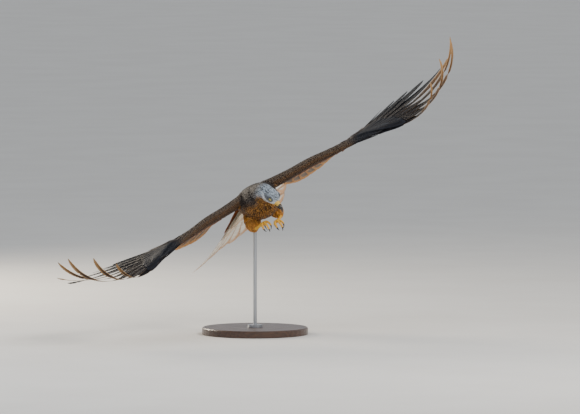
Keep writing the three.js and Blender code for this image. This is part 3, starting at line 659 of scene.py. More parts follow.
def spread_roots(candidates):
    """Points on the skin and the faces they lie on, none closer to another than the spacing there."""
    quad_area = 0.5 * np.linalg.norm(across_quad, axis=1)
    face_space = feather_size(skin_middles, skin_normals, skin_part)[2]
    chance = quad_area / face_space**2
    picked = rng.choice(len(skin_faces), candidates, p=chance / chance.sum())
    s, t = rng.random((2, candidates, 1))
    quad = corner_points[picked]
    points = (quad[:, 0] * (1 - s) + quad[:, 1] * s) * (1 - t) + (quad[:, 3] * (1 - s) + quad[:, 2] * s) * t
    space = feather_size(points, skin_normals[picked], skin_part[picked])[2]
    grid, kept = {}, []
    cells = np.floor(points / WIDEST_SPACE).astype(int)
    for i in range(candidates):
        a, b, c = cells[i]
        p, r = points[i], space[i]
        near = [q for dx in (-1, 0, 1) for dy in (-1, 0, 1) for dz in (-1, 0, 1)
                for q in grid.get((a + dx, b + dy, c + dz), ())]
        if near and (((points[near] - p) ** 2).sum(1) < r * r).any():
            continue
        grid.setdefault((a, b, c), []).append(i)
        kept.append(i)
    kept = np.array(kept)
    return points[kept], picked[kept]


roots, root_face = spread_roots(CANDIDATES)
root_part = skin_part[root_face]
root_normal = skin_normals[root_face]
head_local = off_head(roots)
eye_axis = np.array([math.cos(EYE_TURN), -math.sin(EYE_TURN), 0.12])
bare = np.zeros(len(roots), bool)
for way in (1, -1):
    seat = (EYE_AT + eye_axis * EYE_FRONT) * [way, 1, 1]
    bare |= np.linalg.norm(head_local - seat, axis=1) < EYE_CLEAR
bare |= (head_local[:, 1] < CERE_START) & (root_part == parts.index("head"))
on_wing = np.isin(root_part, [parts.index("wing_left"), parts.index("wing_right")])
keep = ~bare & ~(on_wing & (on_wing_share(roots) > FLESH_END))
roots, root_face, root_part, root_normal = roots[keep], root_face[keep], root_part[keep], root_normal[keep]
print(len(roots), "small feathers")

# %% [markdown]
# ## Small feathers
# Each small feather is a thin closed vane: a root sunk in the skin, two steps along the surface, a narrowed
# tip that stands a little clear. It steps along the skin, so long feathers bend round the breast instead of
# poking out of it. All are computed together as arrays.
# %% Small feathers along the skin
def step_on(points, normals, ways, distance):
    """Moves points along the skin and gives the new points, normals and directions."""
    goal = points + ways * distance[:, None]
    found = np.empty_like(goal)
    facing_out = np.empty_like(goal)
    for i, p in enumerate(goal):
        hit = skin_tree.find_nearest(p)
        found[i] = hit[0]
        facing_out[i] = hit[1]
    facing_out *= np.sign((facing_out * normals).sum(1, keepdims=True) + 1e-9)
    ways = unit(ways - (ways * facing_out).sum(1, keepdims=True) * facing_out)
    return found, facing_out, ways


# Five stations from root to tip, each a ring of six points: across, bent up, and thick in millimetres
SMALL_SHARES = np.array([0.0, 0.36, 0.7, 0.9, 1.0])
SMALL_WIDTHS = np.array([0.4, 0.95, 1.0, 0.68, 0.24])
SMALL_ACROSS = np.array([-1.0, -0.5, 0.0, 0.5, 1.0, 0.0])
SMALL_RISE = np.array([-0.20, 0.02, 0.10, 0.02, -0.20, -0.02])
SMALL_THICK = np.array([0.0, 0.12, 0.16, 0.12, 0.0, -0.16])


def small_feathers(points, normals, part, face, name):
    """One piece of many small vanes. Each follows a curve from its root over a middle point to its tip."""
    n = len(points)
    length, width, _, stand = feather_size(points, normals, part)
    length = length * rng.uniform(0.88, 1.12, n)
    width = width * rng.uniform(0.9, 1.1, n)
    way = lie(points, normals, part)
    sway = np.cross(normals, way)
    way = unit(way + sway * rng.normal(0, 0.07, n)[:, None])
    mid, mid_normal, mid_way = step_on(points, normals, way, length * 0.5)
    tip, tip_normal, _ = step_on(mid, mid_normal, mid_way, length * 0.5)
    lift = stand * rng.uniform(0.75, 1.15, n)
    start = points - normals * 0.6
    middle = mid + mid_normal * (lift * 0.8)[:, None]
    end = tip + tip_normal * (lift * 0.9)[:, None]
    rings = []
    for share, wide in zip(SMALL_SHARES, SMALL_WIDTHS):
        a, b, c = (1 - share) * (1 - 2 * share), 4 * share * (1 - share), share * (2 * share - 1)
        centre = a * start + b * middle + c * end
        slope = unit((4 * share - 3) * start + (4 - 8 * share) * middle + (4 * share - 1) * end)
        out = unit(normals * (1 - share) + tip_normal * share)
        across = unit(np.cross(out, slope))
        out = np.cross(slope, across)
        half = (0.5 * width * wide)[:, None]
        ragged = rng.uniform(0.9, 1.1, (n, len(SMALL_ACROSS)))
        reach = half * SMALL_ACROSS * ragged
        rise = half * SMALL_RISE + SMALL_THICK
        rings.append(centre[:, None] + across[:, None] * reach[..., None] + out[:, None] * rise[..., None])
    grid = np.stack(rings, 1)
    sides, per = len(SMALL_ACROSS), len(SMALL_ACROSS) * len(SMALL_SHARES)
    one = tube_quads(len(SMALL_SHARES), sides)
    quads = (one[None] + (np.arange(n) * per)[:, None, None]).reshape(-1, 4)
    uv = np.stack([np.tile(0.5 + 0.5 * SMALL_ACROSS, (len(SMALL_SHARES), 1)),
                   np.repeat(SMALL_SHARES[:, None], sides, 1)], -1).reshape(-1, 2)
    bake = face_uv[face][:, None] + (uv[None] - 0.5) * FEATHER_ON_TEXTURE
    plume, edge, marks = plumage(points, normals, part)
    plume = plume * rng.uniform(0.72, 1.28, (n, 1))
    rows = {"plume": plume, "edge": edge, "marks": marks}
    colours = {label: np.repeat(row, per, 0) for label, row in rows.items()}
    piece = mesh_piece(name, grid.reshape(-1, 3), quads, np.tile(uv, (n, 1)), bake.reshape(-1, 2), colours)
    print(name, n, "feathers,", len(quads) * 2, "triangles")
    return piece


groups = {
    "feathers_head": ["head"],
    "feathers_neck": ["neck"],
    "feathers_body": ["torso", "rump", "thigh_right", "thigh_left"],
    "feathers_arm_left": ["wing_left"],
    "feathers_arm_right": ["wing_right"],
}
coat = {}
for name, members in groups.items():
    chosen = np.isin(root_part, [parts.index(m) for m in members])
    coat[name] = small_feathers(
        roots[chosen], root_normal[chosen], root_part[chosen], root_face[chosen], name)

# %% [markdown]
# ## Skin piece
# The skin shows only in the chinks between feathers. It carries the same colours as the plumage.
# %% Skin piece
vertex_part = np.zeros(len(skin_bird), int)
vertex_part[skin_faces.ravel()] = np.repeat(skin_part, 4)
vertex_normal = np.zeros_like(skin_bird)
for corner in range(4):
    np.add.at(vertex_normal, skin_faces[:, corner], skin_normals)
vertex_normal = unit(vertex_normal)
skin_plume, skin_edge, skin_marks = plumage(skin_bird, vertex_normal, vertex_part)
skin = mesh_piece("skin", skin_bird, skin_faces,
                  colours={"plume": skin_plume, "edge": skin_edge, "marks": skin_marks})
skin_layer = skin.data.uv_layers.new(name="OFBake")
skin_layer.data.foreach_set("uv", skin_uv.astype(np.float32).ravel())
print("skin of", len(skin_bird), "points")

# %% [markdown]
# ## Shafts of the flight feathers
# Each flight feather follows a shaft: a root, a heading and an upward bend under load. The long outer
# primaries part into fingers and curl up at their tips, and the secondaries make the even rear edge.
# %% Shafts
FEATHER_STEPS = 40
# A shaft is straight over this share of its length
STIFF_SHARE = 0.3
# Degrees by which a vane's leading edge lies above its rear edge
ROLL = 4
SWEEP, RISE, PRONATION = math.radians(29), math.radians(-1), math.radians(12)
hand_out = ahead(math.cos(SWEEP) * math.cos(RISE), math.sin(SWEEP) * math.cos(RISE), math.sin(RISE))
hand_back = np.array([
    math.sin(SWEEP) * math.cos(PRONATION), math.cos(SWEEP) * math.cos(PRONATION), math.sin(PRONATION),
])
hand_back = unit(hand_back - hand_back @ hand_out * hand_out)
hand_up = np.cross(hand_out, hand_back)
wrist = ahead(322, 155, 6)
# From the outermost in: along the hand, behind it, above it, fan angle, length, curl, lift
PRIMARIES = [
    [104, 0, -6, -9.2, 275, 83, -7], [95, 4, -4.8, -3.1, 363, 85, -3], [84, 7, -3.6, 5.7, 431, 78, -1],
    [72, 9, -2.4, 14.1, 429, 67, 0], [60, 11, -1.2, 24.1, 393, 37, 0], [50, 13, 0, 33.5, 345, 16, 0],
    [40, 14, 1.2, 43, 302, 8, 0], [30, 15, 2.4, 52.5, 270, 4, -1], [20, 16, 3.6, 62, 250, 2, -3],
    [10, 17, 4.8, 71, 236, 0, -5],
]
FINGERS = 5
SECONDARIES = 15
# The secondaries stand between these two places along the arm, and are lifted by these degrees in turn
OUTER_SECONDARY, INNER_SECONDARY = 312, 74
SECONDARY_LIFT = [3.5, 2, 0, -2, -5, -7.5, -10, -11.5, -12.5, -12.5, -10.5, -6, -2, 0, 1]


def lifted_shaft(root, flat_way, over, lift, length, curl):
    """Points along a shaft that starts lifted from its flat way, and curls up over its outer part."""
    lift = math.radians(lift)
    start = flat_way * math.cos(lift) + over * math.sin(lift)
    up = over * math.cos(lift) - flat_way * math.sin(lift)
    share = (np.arange(FEATHER_STEPS) + 0.5) / FEATHER_STEPS
    bent = np.radians(curl) * np.maximum(0, (share - STIFF_SHARE) / (1 - STIFF_SHARE)) ** 1.3
    steps = (np.cos(bent)[:, None] * start + np.sin(bent)[:, None] * up) * length / FEATHER_STEPS
    return np.vstack([root, root + np.cumsum(steps, 0)])


def primary_shaft(row):
    out, back, over, turn, length, curl, lift = row
    root = wrist + hand_out * out + hand_back * back + hand_up * over
    turn = math.radians(turn)
    flat_way = hand_out * math.cos(turn) + hand_back * math.sin(turn)
    return lifted_shaft(root, flat_way, hand_up, lift, length, curl)


def secondary_shaft(i):
    t = i / (SECONDARIES - 1)
    root = on_section(wing_section(OUTER_SECONDARY + (INNER_SECONDARY - OUTER_SECONDARY) * t), 0.46, 0)
    turn = math.radians(-46 - 50 * t)
    lift = math.radians(SECONDARY_LIFT[i])
    start = ahead(math.cos(turn) * math.cos(lift), math.sin(turn) * math.cos(lift), math.sin(lift))
    up = unit(np.array([0, 0, 1]) - start * start[2])
    return lifted_shaft(root, start, up, 0, 205 - 27 * t, -3)


shafts = np.array([
    *[primary_shaft(row) for row in PRIMARIES],
    *[secondary_shaft(i) for i in range(SECONDARIES)],
])


def at(shaft, share):
    """Points at shares of a shaft's length. Past either end it runs straight on."""
    spots = np.asarray(share) * FEATHER_STEPS
    k = np.clip(spots.astype(int), 0, FEATHER_STEPS - 1)
    return shaft[k] + (shaft[k + 1] - shaft[k]) * (spots - k)[:, None]


def heading(shaft, share):
    k = np.clip((np.asarray(share) * FEATHER_STEPS).astype(int), 0, FEATHER_STEPS - 1)
    return unit(shaft[k + 1] - shaft[k])


def vane_frame(tangent, sheet, roll):
    """Width and normal of a vane square to its shaft, rolled so that the leading edge lifts.

    The width lies in the sheet that the neighbouring shafts span.
    """
    width = unit(sheet - (sheet * tangent).sum(-1, keepdims=True) * tangent)
    normal = unit(np.cross(tangent, width))
    flip = (normal[:, 2] < 0) & (np.abs(tangent[:, 2]) < 0.6)
    normal[flip] *= -1
    turn = np.radians(np.broadcast_to(roll, len(width)))[:, None]
    c, s = np.cos(turn), np.sin(turn)
    return width * c + normal * s, normal * c - width * s


print(len(shafts), "flight feathers in a wing")

# %% [markdown]
# ## Large vanes
# A large feather has a raised shaft, a narrow vane ahead of it and a wide one behind, a slight camber, and
# edges nicked where the barbs have parted. It is built as a grid with a top and an underside, because the
# two faces of a kite's feathers are not the same colour.
# %% Large vanes
# Places across a vane, and how much of the shaft's height each has
COLUMNS = np.array([-1.0, -0.6, -0.1, 0.0, 0.1, 0.6, 1.0])
RIDGE = np.array([0.0, 0.0, 0.1, 1.0, 0.1, 0.0, 0.0])


def vane_stations(count, nicks):
    """Shares of the length, and how much of the width each keeps at its two edges.

    A nick narrows one edge a little way up to its middle and springs back just past it.
    """
    shares = np.linspace(0, 1, count)
    keeps = np.ones((count, 2))
    for _ in range(nicks):
        middle = rng.uniform(0.35, 0.95)
        edge = int(rng.random() < 0.75)
        row = np.ones((3, 2))
        row[1, edge] = rng.uniform(0.55, 0.8)
        row[0, edge] = 0.97
        shares = np.concatenate([shares, [middle - 0.012, middle, middle + 0.003]])
        keeps = np.vstack([keeps, row])
    order = np.argsort(shares)
    return shares[order], keeps[order]


def large_vane(centre, width_way, normal, shares, keeps, lead, trail, thick=0.45, camber=0.05, ridge=0.9):
    """Points (stations, 2 faces, columns), as arrays of one closed feather."""
    reach = np.where(COLUMNS < 0, -COLUMNS * lead[:, None], -COLUMNS * trail[:, None])
    reach[:, 0] *= keeps[:, 0]
    reach[:, -1] *= keeps[:, 1]
    sag = -camber * np.abs(reach) * np.abs(COLUMNS)
    stem = RIDGE * ridge * (1 - 0.85 * shares)[:, None]
    slim = (0.5 * thick * (1 - 0.35 * shares))[:, None] * (1 - 0.5 * np.abs(COLUMNS) ** 3)
    flat = centre[:, None] + width_way[:, None] * reach[..., None]
    faces = []
    for top in (1, -1):
        offset = sag + top * slim + stem * (0.45 if top > 0 else -0.9)
        faces.append(flat + normal[:, None] * offset[..., None])
    return np.stack(faces, 1)


def vane_quads(n):
    """Quads of one closed vane of n stations, from its top and underside and its four edges."""
    m = len(COLUMNS)

    def spot(k, f, j):
        return (k * 2 + f) * m + j

    quads = []
    for k in range(n - 1):
        for j in range(m - 1):
            quads.append([spot(k, 0, j), spot(k, 0, j + 1), spot(k + 1, 0, j + 1), spot(k + 1, 0, j)])
            quads.append([spot(k, 1, j), spot(k + 1, 1, j), spot(k + 1, 1, j + 1), spot(k, 1, j + 1)])
        quads.append([spot(k, 0, 0), spot(k + 1, 0, 0), spot(k + 1, 1, 0), spot(k, 1, 0)])
        quads.append([spot(k, 0, m - 1), spot(k, 1, m - 1), spot(k + 1, 1, m - 1), spot(k + 1, 0, m - 1)])
    for j in range(m - 1):
        quads.append([spot(0, 0, j), spot(0, 1, j), spot(0, 1, j + 1), spot(0, 0, j + 1)])
        e = n - 1
        quads.append([spot(e, 0, j), spot(e, 0, j + 1), spot(e, 1, j + 1), spot(e, 1, j)])
    return np.array(quads)


class VaneSet:
    """Gathers large feathers into one piece."""

    def __init__(self):
        self.points, self.quads, self.uv, self.roots = [], [], [], []
        self.plume, self.edge, self.marks = [], [], []
        self.base = 0

    def add(self, grid, shares, plume, edge, marks):
        """plume, edge and marks are pairs for the top and the underside: one row, or one per station."""
        n, m = len(shares), len(COLUMNS)
        self.points.append(grid.reshape(-1, 3))
        self.quads.append(vane_quads(n) + self.base)
        self.base += n * 2 * m
        u = np.tile(0.5 + 0.5 * COLUMNS, (n, 2, 1))
        v = np.tile(shares[:, None, None], (1, 2, m))
        self.uv.append(np.stack([u, v], -1).reshape(-1, 2))
        for store, pair in ((self.plume, plume), (self.edge, edge), (self.marks, marks)):
            both = [np.broadcast_to(np.asarray(p, float), (n, 3)) for p in pair]
            store.append(np.repeat(np.stack(both, 1)[:, :, None], m, 2).reshape(-1, 3))
        self.roots.append(np.repeat(grid[0, 0, 3][None], n * 2 * m, 0))

    def piece(self, name, side=1):
        """One mesh, mirrored for side -1. A vane's place on the texture is by the skin nearest its root."""
        quads = np.vstack(self.quads)
        if side < 0:
            quads = quads[:, ::-1]
        uv = np.vstack(self.uv)
        spots, back = np.unique(np.vstack(self.roots) * [side, 1, 1], axis=0, return_inverse=True)
        found = np.array([face_uv[skin_tree.find_nearest(p)[2]] for p in spots])
        bake = found[back.reshape(-1)] + (uv - 0.5) * FEATHER_ON_TEXTURE
        rows = {"plume": self.plume, "edge": self.edge, "marks": self.marks}
        colours = {label: np.vstack(row) for label, row in rows.items()}
        made = mesh_piece(name, np.vstack(self.points) * [side, 1, 1], quads, uv, bake, colours)
        print(name, len(self.points), "vanes,", len(quads) * 2, "triangles")
        return made


print("columns across a vane", len(COLUMNS))

# %% [markdown]
# ## Primaries and secondaries
# The vane widths come from tables by share of the length. Beyond the notch the outer five primaries narrow
# to fingers. Their tops are brown-black with a painted blue of sky reflection, the fingers with painted warm
# light and sunlit edges; below, the inner primaries carry the pale window of the species, greyed by painted
# shade.
# %% Flight feathers
# Each row: share of the length, width ahead of the shaft, width behind it
FINGER = np.array([
    [0, 2, 2], [0.12, 6, 12], [0.24, 9, 27], [0.36, 9, 31], [0.47, 7.5, 18], [0.6, 6.5, 14.5],
    [0.8, 6, 13.5], [0.9, 5.2, 11.5], [0.96, 3.8, 8], [1, 0.8, 1.6],
])
INNER = np.array([
    [0, 2, 2], [0.12, 8, 14], [0.3, 15, 33], [0.6, 18, 41], [0.86, 18, 39], [0.94, 15, 31], [0.98, 9, 18],
    [1, 2, 3],
])
SECOND = np.array([
    [0, 3, 3], [0.2, 10, 17], [0.5, 13, 25], [0.85, 14, 25.5], [0.94, 11, 19], [0.98, 6.5, 10.5], [1, 2, 2.5],
])
# The blue in these blacks is a painted reflection of the sky on the dark brown-black
BLACK_TOP, BLACK_UNDER = srgb("0f1117"), srgb("1a1b20")
BROWN_TOP, GREY_UNDER = srgb("43352b"), srgb("7d7065")
# The species' pale window under the inner primaries, greyed by painted shade
WINDOW_IN_PAINTED_SHADE = srgb("8d877f")
FINGER_BROWN = srgb("6e4a28")
# Warm rear edge of the secondaries: painted sunlight glowing through the trailing edge
REAR_EDGE_PAINTED_GLOW = srgb("d79a5a")


def sheet_across(i, shares):
    outer, inner = max(0, i - 1), min(len(shafts) - 1, i + 1)
    return unit(at(shafts[outer], shares) - at(shafts[inner], shares))


# Under load the raised left wing's fingers twist open toward the front, and the right wing's hardly at all
FINGER_TWIST = {"left": -26, "right": -10}
# How far each wing's finger tops warm to brown: painted warm light, stronger on the left wing than the right
FINGER_PAINTED_WARM_LIGHT = {"left": 0.7, "right": 0.2}


def flight_feathers(label):
    """All primaries and secondaries of a wing, outermost first."""
    vanes = VaneSet()
    for i, shaft in enumerate(shafts):
        finger, primary = i < FINGERS, i < len(PRIMARIES)
        table = FINGER if finger else INNER if primary else SECOND
        shares, keeps = vane_stations(24, rng.integers(2, 6))
        lead, trail = (np.interp(shares, table[:, 0], table[:, c]) for c in (1, 2))
        if i == 0:
            lead, trail = lead * 0.78, trail * 0.78
        sheet = sheet_across(i, shares)
        if finger:
            sheet = unit(blend(sheet, -hand_back, np.clip((shares - 0.38) / 0.3, 0, 1)))
        twist = FINGER_TWIST[label] * smooth(0.42, 0.72, shares) if finger else 0
        width_way, normal = vane_frame(heading(shaft, shares), sheet, ROLL + twist)
        grid = large_vane(at(shaft, shares), width_way, normal, shares, keeps, lead, trail)
        if primary:
            black = smooth(0.3, 0.5, shares) if finger else smooth(0.42, 0.62, shares)
            top = blend(BROWN_TOP, BLACK_TOP, 0.85 + 0.15 * black)
            pale = WINDOW_IN_PAINTED_SHADE if i >= 2 else BLACK_UNDER
            under = blend(pale, BLACK_UNDER, smooth(0.18, 0.46, shares))
            if finger:
                under = blend(under, FINGER_BROWN, smooth(0.5, 0.7, shares) * 0.8)
                top = blend(top, FINGER_BROWN, smooth(0.5, 0.75, shares) * FINGER_PAINTED_WARM_LIGHT[label])
            # On the fingers the strong pale edge, in light buff, is a painted sunlit highlight
            pale_edge_and_highlight = 0.8 if finger else 0.5
            marks = ([0.1, pale_edge_and_highlight, 0.2], [0.1, pale_edge_and_highlight, 0.3])
            edges = (srgb("b08a5e"), srgb("d8b88c")) if finger else (srgb("24262d"), srgb("38373a"))
        else:
            # The secondaries warm toward their tips on both faces: painted backlight at the trailing edge
            under = blend(GREY_UNDER, REAR_EDGE_PAINTED_GLOW, smooth(0.78, 0.97, shares) * 0.8)
            top = blend(BROWN_TOP, srgb("8a6038"), smooth(0.86, 1.0, shares) * 0.6)
            marks = ([0.2, 0.7, 0.55], [0.1, 0.8, 0.2])
            edges = (srgb("9a7650"), REAR_EDGE_PAINTED_GLOW)
        vanes.add(grid, shares, (top, under), edges, marks)
    return vanes


print("primaries", len(PRIMARIES), "secondaries", SECONDARIES)

# %% [markdown]
# ## Coverts
# Rows of coverts hide the roots of the flight feathers, longest at the back and shorter in front, above
# and below the wing. They ride on the same shafts, each row a little higher than the one behind it.
# %% Coverts of the wing
COVERT_FORM = {"thick": 0.4, "camber": 0.1, "ridge": 0.35}


def covert_row(vanes, indices, reach, high, low, lead, trail, look, start, between=False):
    """One row of coverts: reach and start in millimetres along each shaft, high and low above it."""
    for i in indices:
        shaft = shafts[i] if not between else (shafts[i] + shafts[min(i + 1, len(shafts) - 1)]) / 2
        whole = np.linalg.norm(np.diff(shaft, axis=0), axis=1).sum()
        shares, keeps = vane_stations(9, rng.integers(0, 2))
        spots = (start + reach * rng.uniform(0.95, 1.05) * shares) / whole
        shape = np.interp(shares, [0, 0.25, 0.7, 0.9, 1], [0.4, 0.85, 1, 0.72, 0.12])
        width_way, normal = vane_frame(heading(shaft, spots), sheet_across(i, spots), ROLL)
        height = np.interp(shares, [0, 0.2, 1], [high * 0.3, high, low])
        centre = at(shaft, spots) + normal * height[:, None]
        grid = large_vane(
            centre, width_way, normal, shares, keeps, lead * shape, trail * shape, **COVERT_FORM)
        plume, edge, marks = covert_look(look, i)
        vanes.add(grid, shares, (plume, plume), (edge, edge), (marks, marks))


# For each row: plume on the hand and on the arm, edge on the hand and on the arm, the primary or secondary
# where the one begins to turn into the other, then streak, pale edge, what the arm adds to it, and bars
# The upper rows' dark colours on the hand lean blue: a painted reflection of the sky
COVERT_LOOKS = {
    "upper": [HAND, srgb("46372d"), srgb("22242b"), srgb("a08468"), 6, 0.5, 0.5, 0.45, 0.1],
    "middle": [srgb("1a1c22"), srgb("4a3a2e"), srgb("282a31"), srgb("a88a6a"), 6, 0.6, 0.5, 0.45, 0.0],
    "under": [srgb("26262b"), srgb("9a6a45"), srgb("3f3e43"), srgb("d3a067"), 6, 0.5, 0.7, 0.0, 0.15],
    "rufous": [srgb("2a2627"), UNDERWING, srgb("4a4442"), srgb("c08a54"), 5, 0.7, 0.7, 0.0, 0.0],
}


def covert_look(row, i):
    """Plume, edge and marks of the covert over feather i, each a little lighter or darker than the last."""
    hand, arm, hand_edge, arm_edge, turn_at, streak, pale, pale_arm, bars = COVERT_LOOKS[row]
    on_arm = float(smooth(turn_at, turn_at + 6, i))
    plume = blend(hand, arm, on_arm) * rng.uniform(0.85, 1.15)
    return plume, blend(hand_edge, arm_edge, on_arm), [streak, pale + pale_arm * on_arm, bars]


ALULA = [
    [[332, 163.5, -1.2], [404, 203, -12.0]], [[329, 161.5, 0.8], [391, 195.5, -8.4]],
    [[326, 159.5, 2.8], [378, 188, -5.0]],
]


def alula(vanes):
    """The three small stiff feathers on the thumb."""
    for root_at, tip_at in ALULA:
        root, tip = ahead(*root_at), ahead(*tip_at)
        shares, keeps = vane_stations(10, 1)
        centre = root + (tip - root) * shares[:, None]
        way, back = (np.tile(v, (len(shares), 1)) for v in (unit(tip - root), -hand_back))
        width_way, normal = vane_frame(way, back, ROLL)
        lead, trail = (np.interp(shares, [0, 0.4, 0.85, 1], row) for row in ([3, 5, 4, 0.6], [4, 11, 9, 1.4]))
        grid = large_vane(centre, width_way, normal, shares, keeps, lead, trail)
        edge, marks = srgb("5d5859"), [0.3, 0.4, 0]
        vanes.add(grid, shares, (BLACK_TOP, BLACK_UNDER), (edge, edge), (marks, marks))


def wing_coverts():
    vanes = VaneSet()
    hand, arm = range(len(PRIMARIES)), range(len(PRIMARIES), len(shafts) - 1)
    covert_row(vanes, arm, 88, 11, 3.6, 12, 17, "upper", -4)
    covert_row(vanes, arm, 70, 14, 6.4, 11, 15, "middle", -14, between=True)
    covert_row(vanes, arm, 78, -10, -3.6, 13, 18, "under", -2)
    covert_row(vanes, arm, 60, -13, -6.4, 12, 15, "rufous", -12, between=True)
    covert_row(vanes, hand, 102, 7.2, 2.6, 10, 18, "upper", -6)
    covert_row(vanes, hand, 70, 9.0, 4.6, 11, 16, "middle", -14, between=True)
    covert_row(vanes, hand, 96, -6.8, -2.6, 10, 18, "under", -6)
    covert_row(vanes, hand, 64, -8.8, -4.4, 11, 16, "rufous", -14, between=True)
    # The gap between hand and arm is wider, so three broad coverts close it above and below
    covert_row(vanes, (8, 9, 10), 88, 10.5, 3.2, 15, 21, "upper", -8, between=True)
    covert_row(vanes, (8, 9, 10), 80, -9.5, -3.2, 15, 21, "under", -8, between=True)
    alula(vanes)
    return vanes


flight = {}
for side, label in ((1, "left"), (-1, "right")):
    flight["flight_" + label] = flight_feathers(label).piece("flight_" + label, side)
    flight["coverts_" + label] = wing_coverts().piece("coverts_" + label, side)

# %% [markdown]
# ## Tail
# Twelve tail feathers make the shallow fork. The bird twists its tail, so the left half lifts out of the
# fan and the right half drops and curls. Rufous above with faint bars, and nearly white below.
# %% Tail feathers
TAIL_ROOT = np.array([0.0, 146.0, -20.0])
TAIL_YAW, TAIL_DROP, TAIL_ROLL = math.radians(11.9), math.radians(18.4), math.radians(6.6)
TAIL_ROOT_GAP = 4.4
# From the middle pair out: lengths, then fan angle, lift and curl in degrees
TAIL_LENGTHS = [266, 271, 284, 303, 328, 360]
TAIL_RIGHT = [[3.8, 0, 0], [9.6, 0, 0], [16.3, 0, 0], [23.3, -1.5, 7.9], [30.9, -3, 9.9], [38.4, -5, 13.8]]
TAIL_LEFT = [[5, 0, 0], [13.5, 0, 0], [20.5, 1, 0], [25.7, 4.2, 3], [28.8, 8.6, 5], [31.4, 12.6, 3]]
TAIL_WIDTHS = np.array([
    [0, 2.5, 2.5], [0.15, 8, 9], [0.45, 17, 20], [0.85, 21, 27], [0.93, 18, 21], [0.98, 11, 11], [1, 4, 3],
])
tail_back = np.array([
    math.sin(TAIL_YAW) * math.cos(TAIL_DROP), math.cos(TAIL_YAW) * math.cos(TAIL_DROP), -math.sin(TAIL_DROP),
])
tail_level = unit(np.cross(tail_back, [0, 0, 1]))
tail_left = tail_level * math.cos(TAIL_ROLL) + np.cross(tail_level, tail_back) * math.sin(TAIL_ROLL)
tail_up = np.cross(tail_left, tail_back)
tail_shafts = []
for k in [*range(-6, 0), *range(1, 7)]:
    side, order = (1 if k > 0 else -1), abs(k) - 0.5
    turn, lift, curl = (TAIL_LEFT if k > 0 else TAIL_RIGHT)[abs(k) - 1]
    root = TAIL_ROOT + tail_left * side * order * TAIL_ROOT_GAP + tail_up * (1.2 if k == 1 else 0)
    turn = math.radians(turn)
    flat_way = tail_back * math.cos(turn) + tail_left * side * math.sin(turn)
    tail_shafts.append(lifted_shaft(root, flat_way, tail_up, lift, TAIL_LENGTHS[abs(k) - 1], curl))


def tail_frame(i, shares):
    left = i >= 6
    outer = min(11, i + 1) if left else max(0, i - 1)
    inner = max(6, i - 1) if left else min(5, i + 1)
    sheet = at(tail_shafts[outer], shares) - at(tail_shafts[inner], shares)
    return vane_frame(heading(tail_shafts[i], shares), sheet, 1.5 if i in (5, 6) else ROLL)


TAIL_TOP, TAIL_UNDER, TAIL_MARGIN = srgb("a35c33"), srgb("f8f2e6"), srgb("d09458")
tail_set = VaneSet()
for i, shaft in enumerate(tail_shafts):
    shares, keeps = vane_stations(24, rng.integers(2, 5))
    lead, trail = (np.interp(shares, TAIL_WIDTHS[:, 0], TAIL_WIDTHS[:, c]) for c in (1, 2))
    if i in (0, 11):
        lead = lead * 0.45
    width_way, normal = tail_frame(i, shares)
    grid = large_vane(at(shaft, shares), width_way, normal, shares, keeps, lead, trail)
    dark = smooth(0.8, 0.98, shares) * (0.75 if i in (0, 1, 10, 11) else 0.35)
    top = blend(TAIL_TOP, srgb("3c2c24"), dark)
    under = blend(TAIL_UNDER, srgb("b9a48e"), dark * 0.5)
    marks = ([0.15, 0.6, 0.5], [0.0, 0.8, 0.12])
    tail_set.add(grid, shares, (top, under), (srgb("c98f5c"), TAIL_MARGIN), marks)


def tail_coverts(high, low, reach, plume, edge, marks, between=False):
    """One row: high and low in millimetres above the feathers, reach as a share of their length."""
    for i in range(11 if between else 12):
        shaft = (tail_shafts[i] + tail_shafts[i + 1]) / 2 if between else tail_shafts[i]
        shares, keeps = vane_stations(9, 1)
        spots = reach * rng.uniform(0.92, 1.08) * shares
        shape = np.interp(shares, [0, 0.3, 0.75, 0.93, 1], [0.4, 0.85, 1, 0.6, 0.1])
        width_way, normal = tail_frame(i, spots)
        centre = at(shaft, spots) + normal * (high + (low - high) * shares)[:, None]
        grid = large_vane(centre, width_way, normal, shares, keeps, 11 * shape, 12 * shape, **COVERT_FORM)
        tone = plume * rng.uniform(0.9, 1.1)
        tail_set.add(grid, shares, (tone, tone), (edge, edge), (marks, marks))


tail_coverts(8, 3.4, 0.36, srgb("a5602f"), srgb("c98f5c"), [0.5, 0.7, 0.1])
tail_coverts(12, 6.4, 0.24, srgb("8f5228"), srgb("c08048"), [0.7, 0.7, 0.0], between=True)
tail_coverts(-8, -3.4, 0.44, srgb("efe3cf"), srgb("c98a4c"), [0.35, 0.5, 0.0])
tail_coverts(-12, -6.4, 0.3, srgb("ead9bd"), srgb("bf7c3c"), [0.6, 0.6, 0.0], between=True)
tail_piece = tail_set.piece("tail_vanes")

# %% [markdown]
# ## Eyes
# A kite's eye is pale, with a black pupil, set under a bony brow. The ball has a clear bulge over the iris,
# and the lids close round it as a thin dark rim. The mesh is turned on a lathe of its own profile.
# %% Eyes and lids
def turned(profile, sides):
    """A closed lathe form round z from rows of radius and height, ends nearly on the axis."""
    rows = np.array(profile, float)
    a = 2 * np.pi * np.arange(sides) / sides
    radius, height = rows[:, :1], np.repeat(rows[:, 1:2], sides, 1)
    points = np.stack([radius * np.cos(a), radius * np.sin(a), height], -1)
    return points.reshape(-1, 3), tube_quads(len(rows), sides)


EYE_STEPS = 48
LID_STEPS, LID_SIDES = 48, 12


def eye_profile():
    """From the back of the ball to its front, with a bulge over the iris."""
    rows = []
    for k in range(EYE_STEPS + 1):
        angle = math.pi * (1 - k / EYE_STEPS)
        radius, height = EYE_RADIUS * math.sin(angle), EYE_RADIUS * math.cos(angle)
        bulge = 0.7 * max(0.0, 1 - (radius / 4.9) ** 2) if height > 0 else 0.0
        rows.append([max(radius, 0.02), height + bulge])
    return rows


def eye_axes(way):
    axis = unit(eye_axis * [way, 1, 1])
    side = unit(np.cross([0, 0, 1], axis))
    return np.stack([side, np.cross(axis, side), axis], 1)


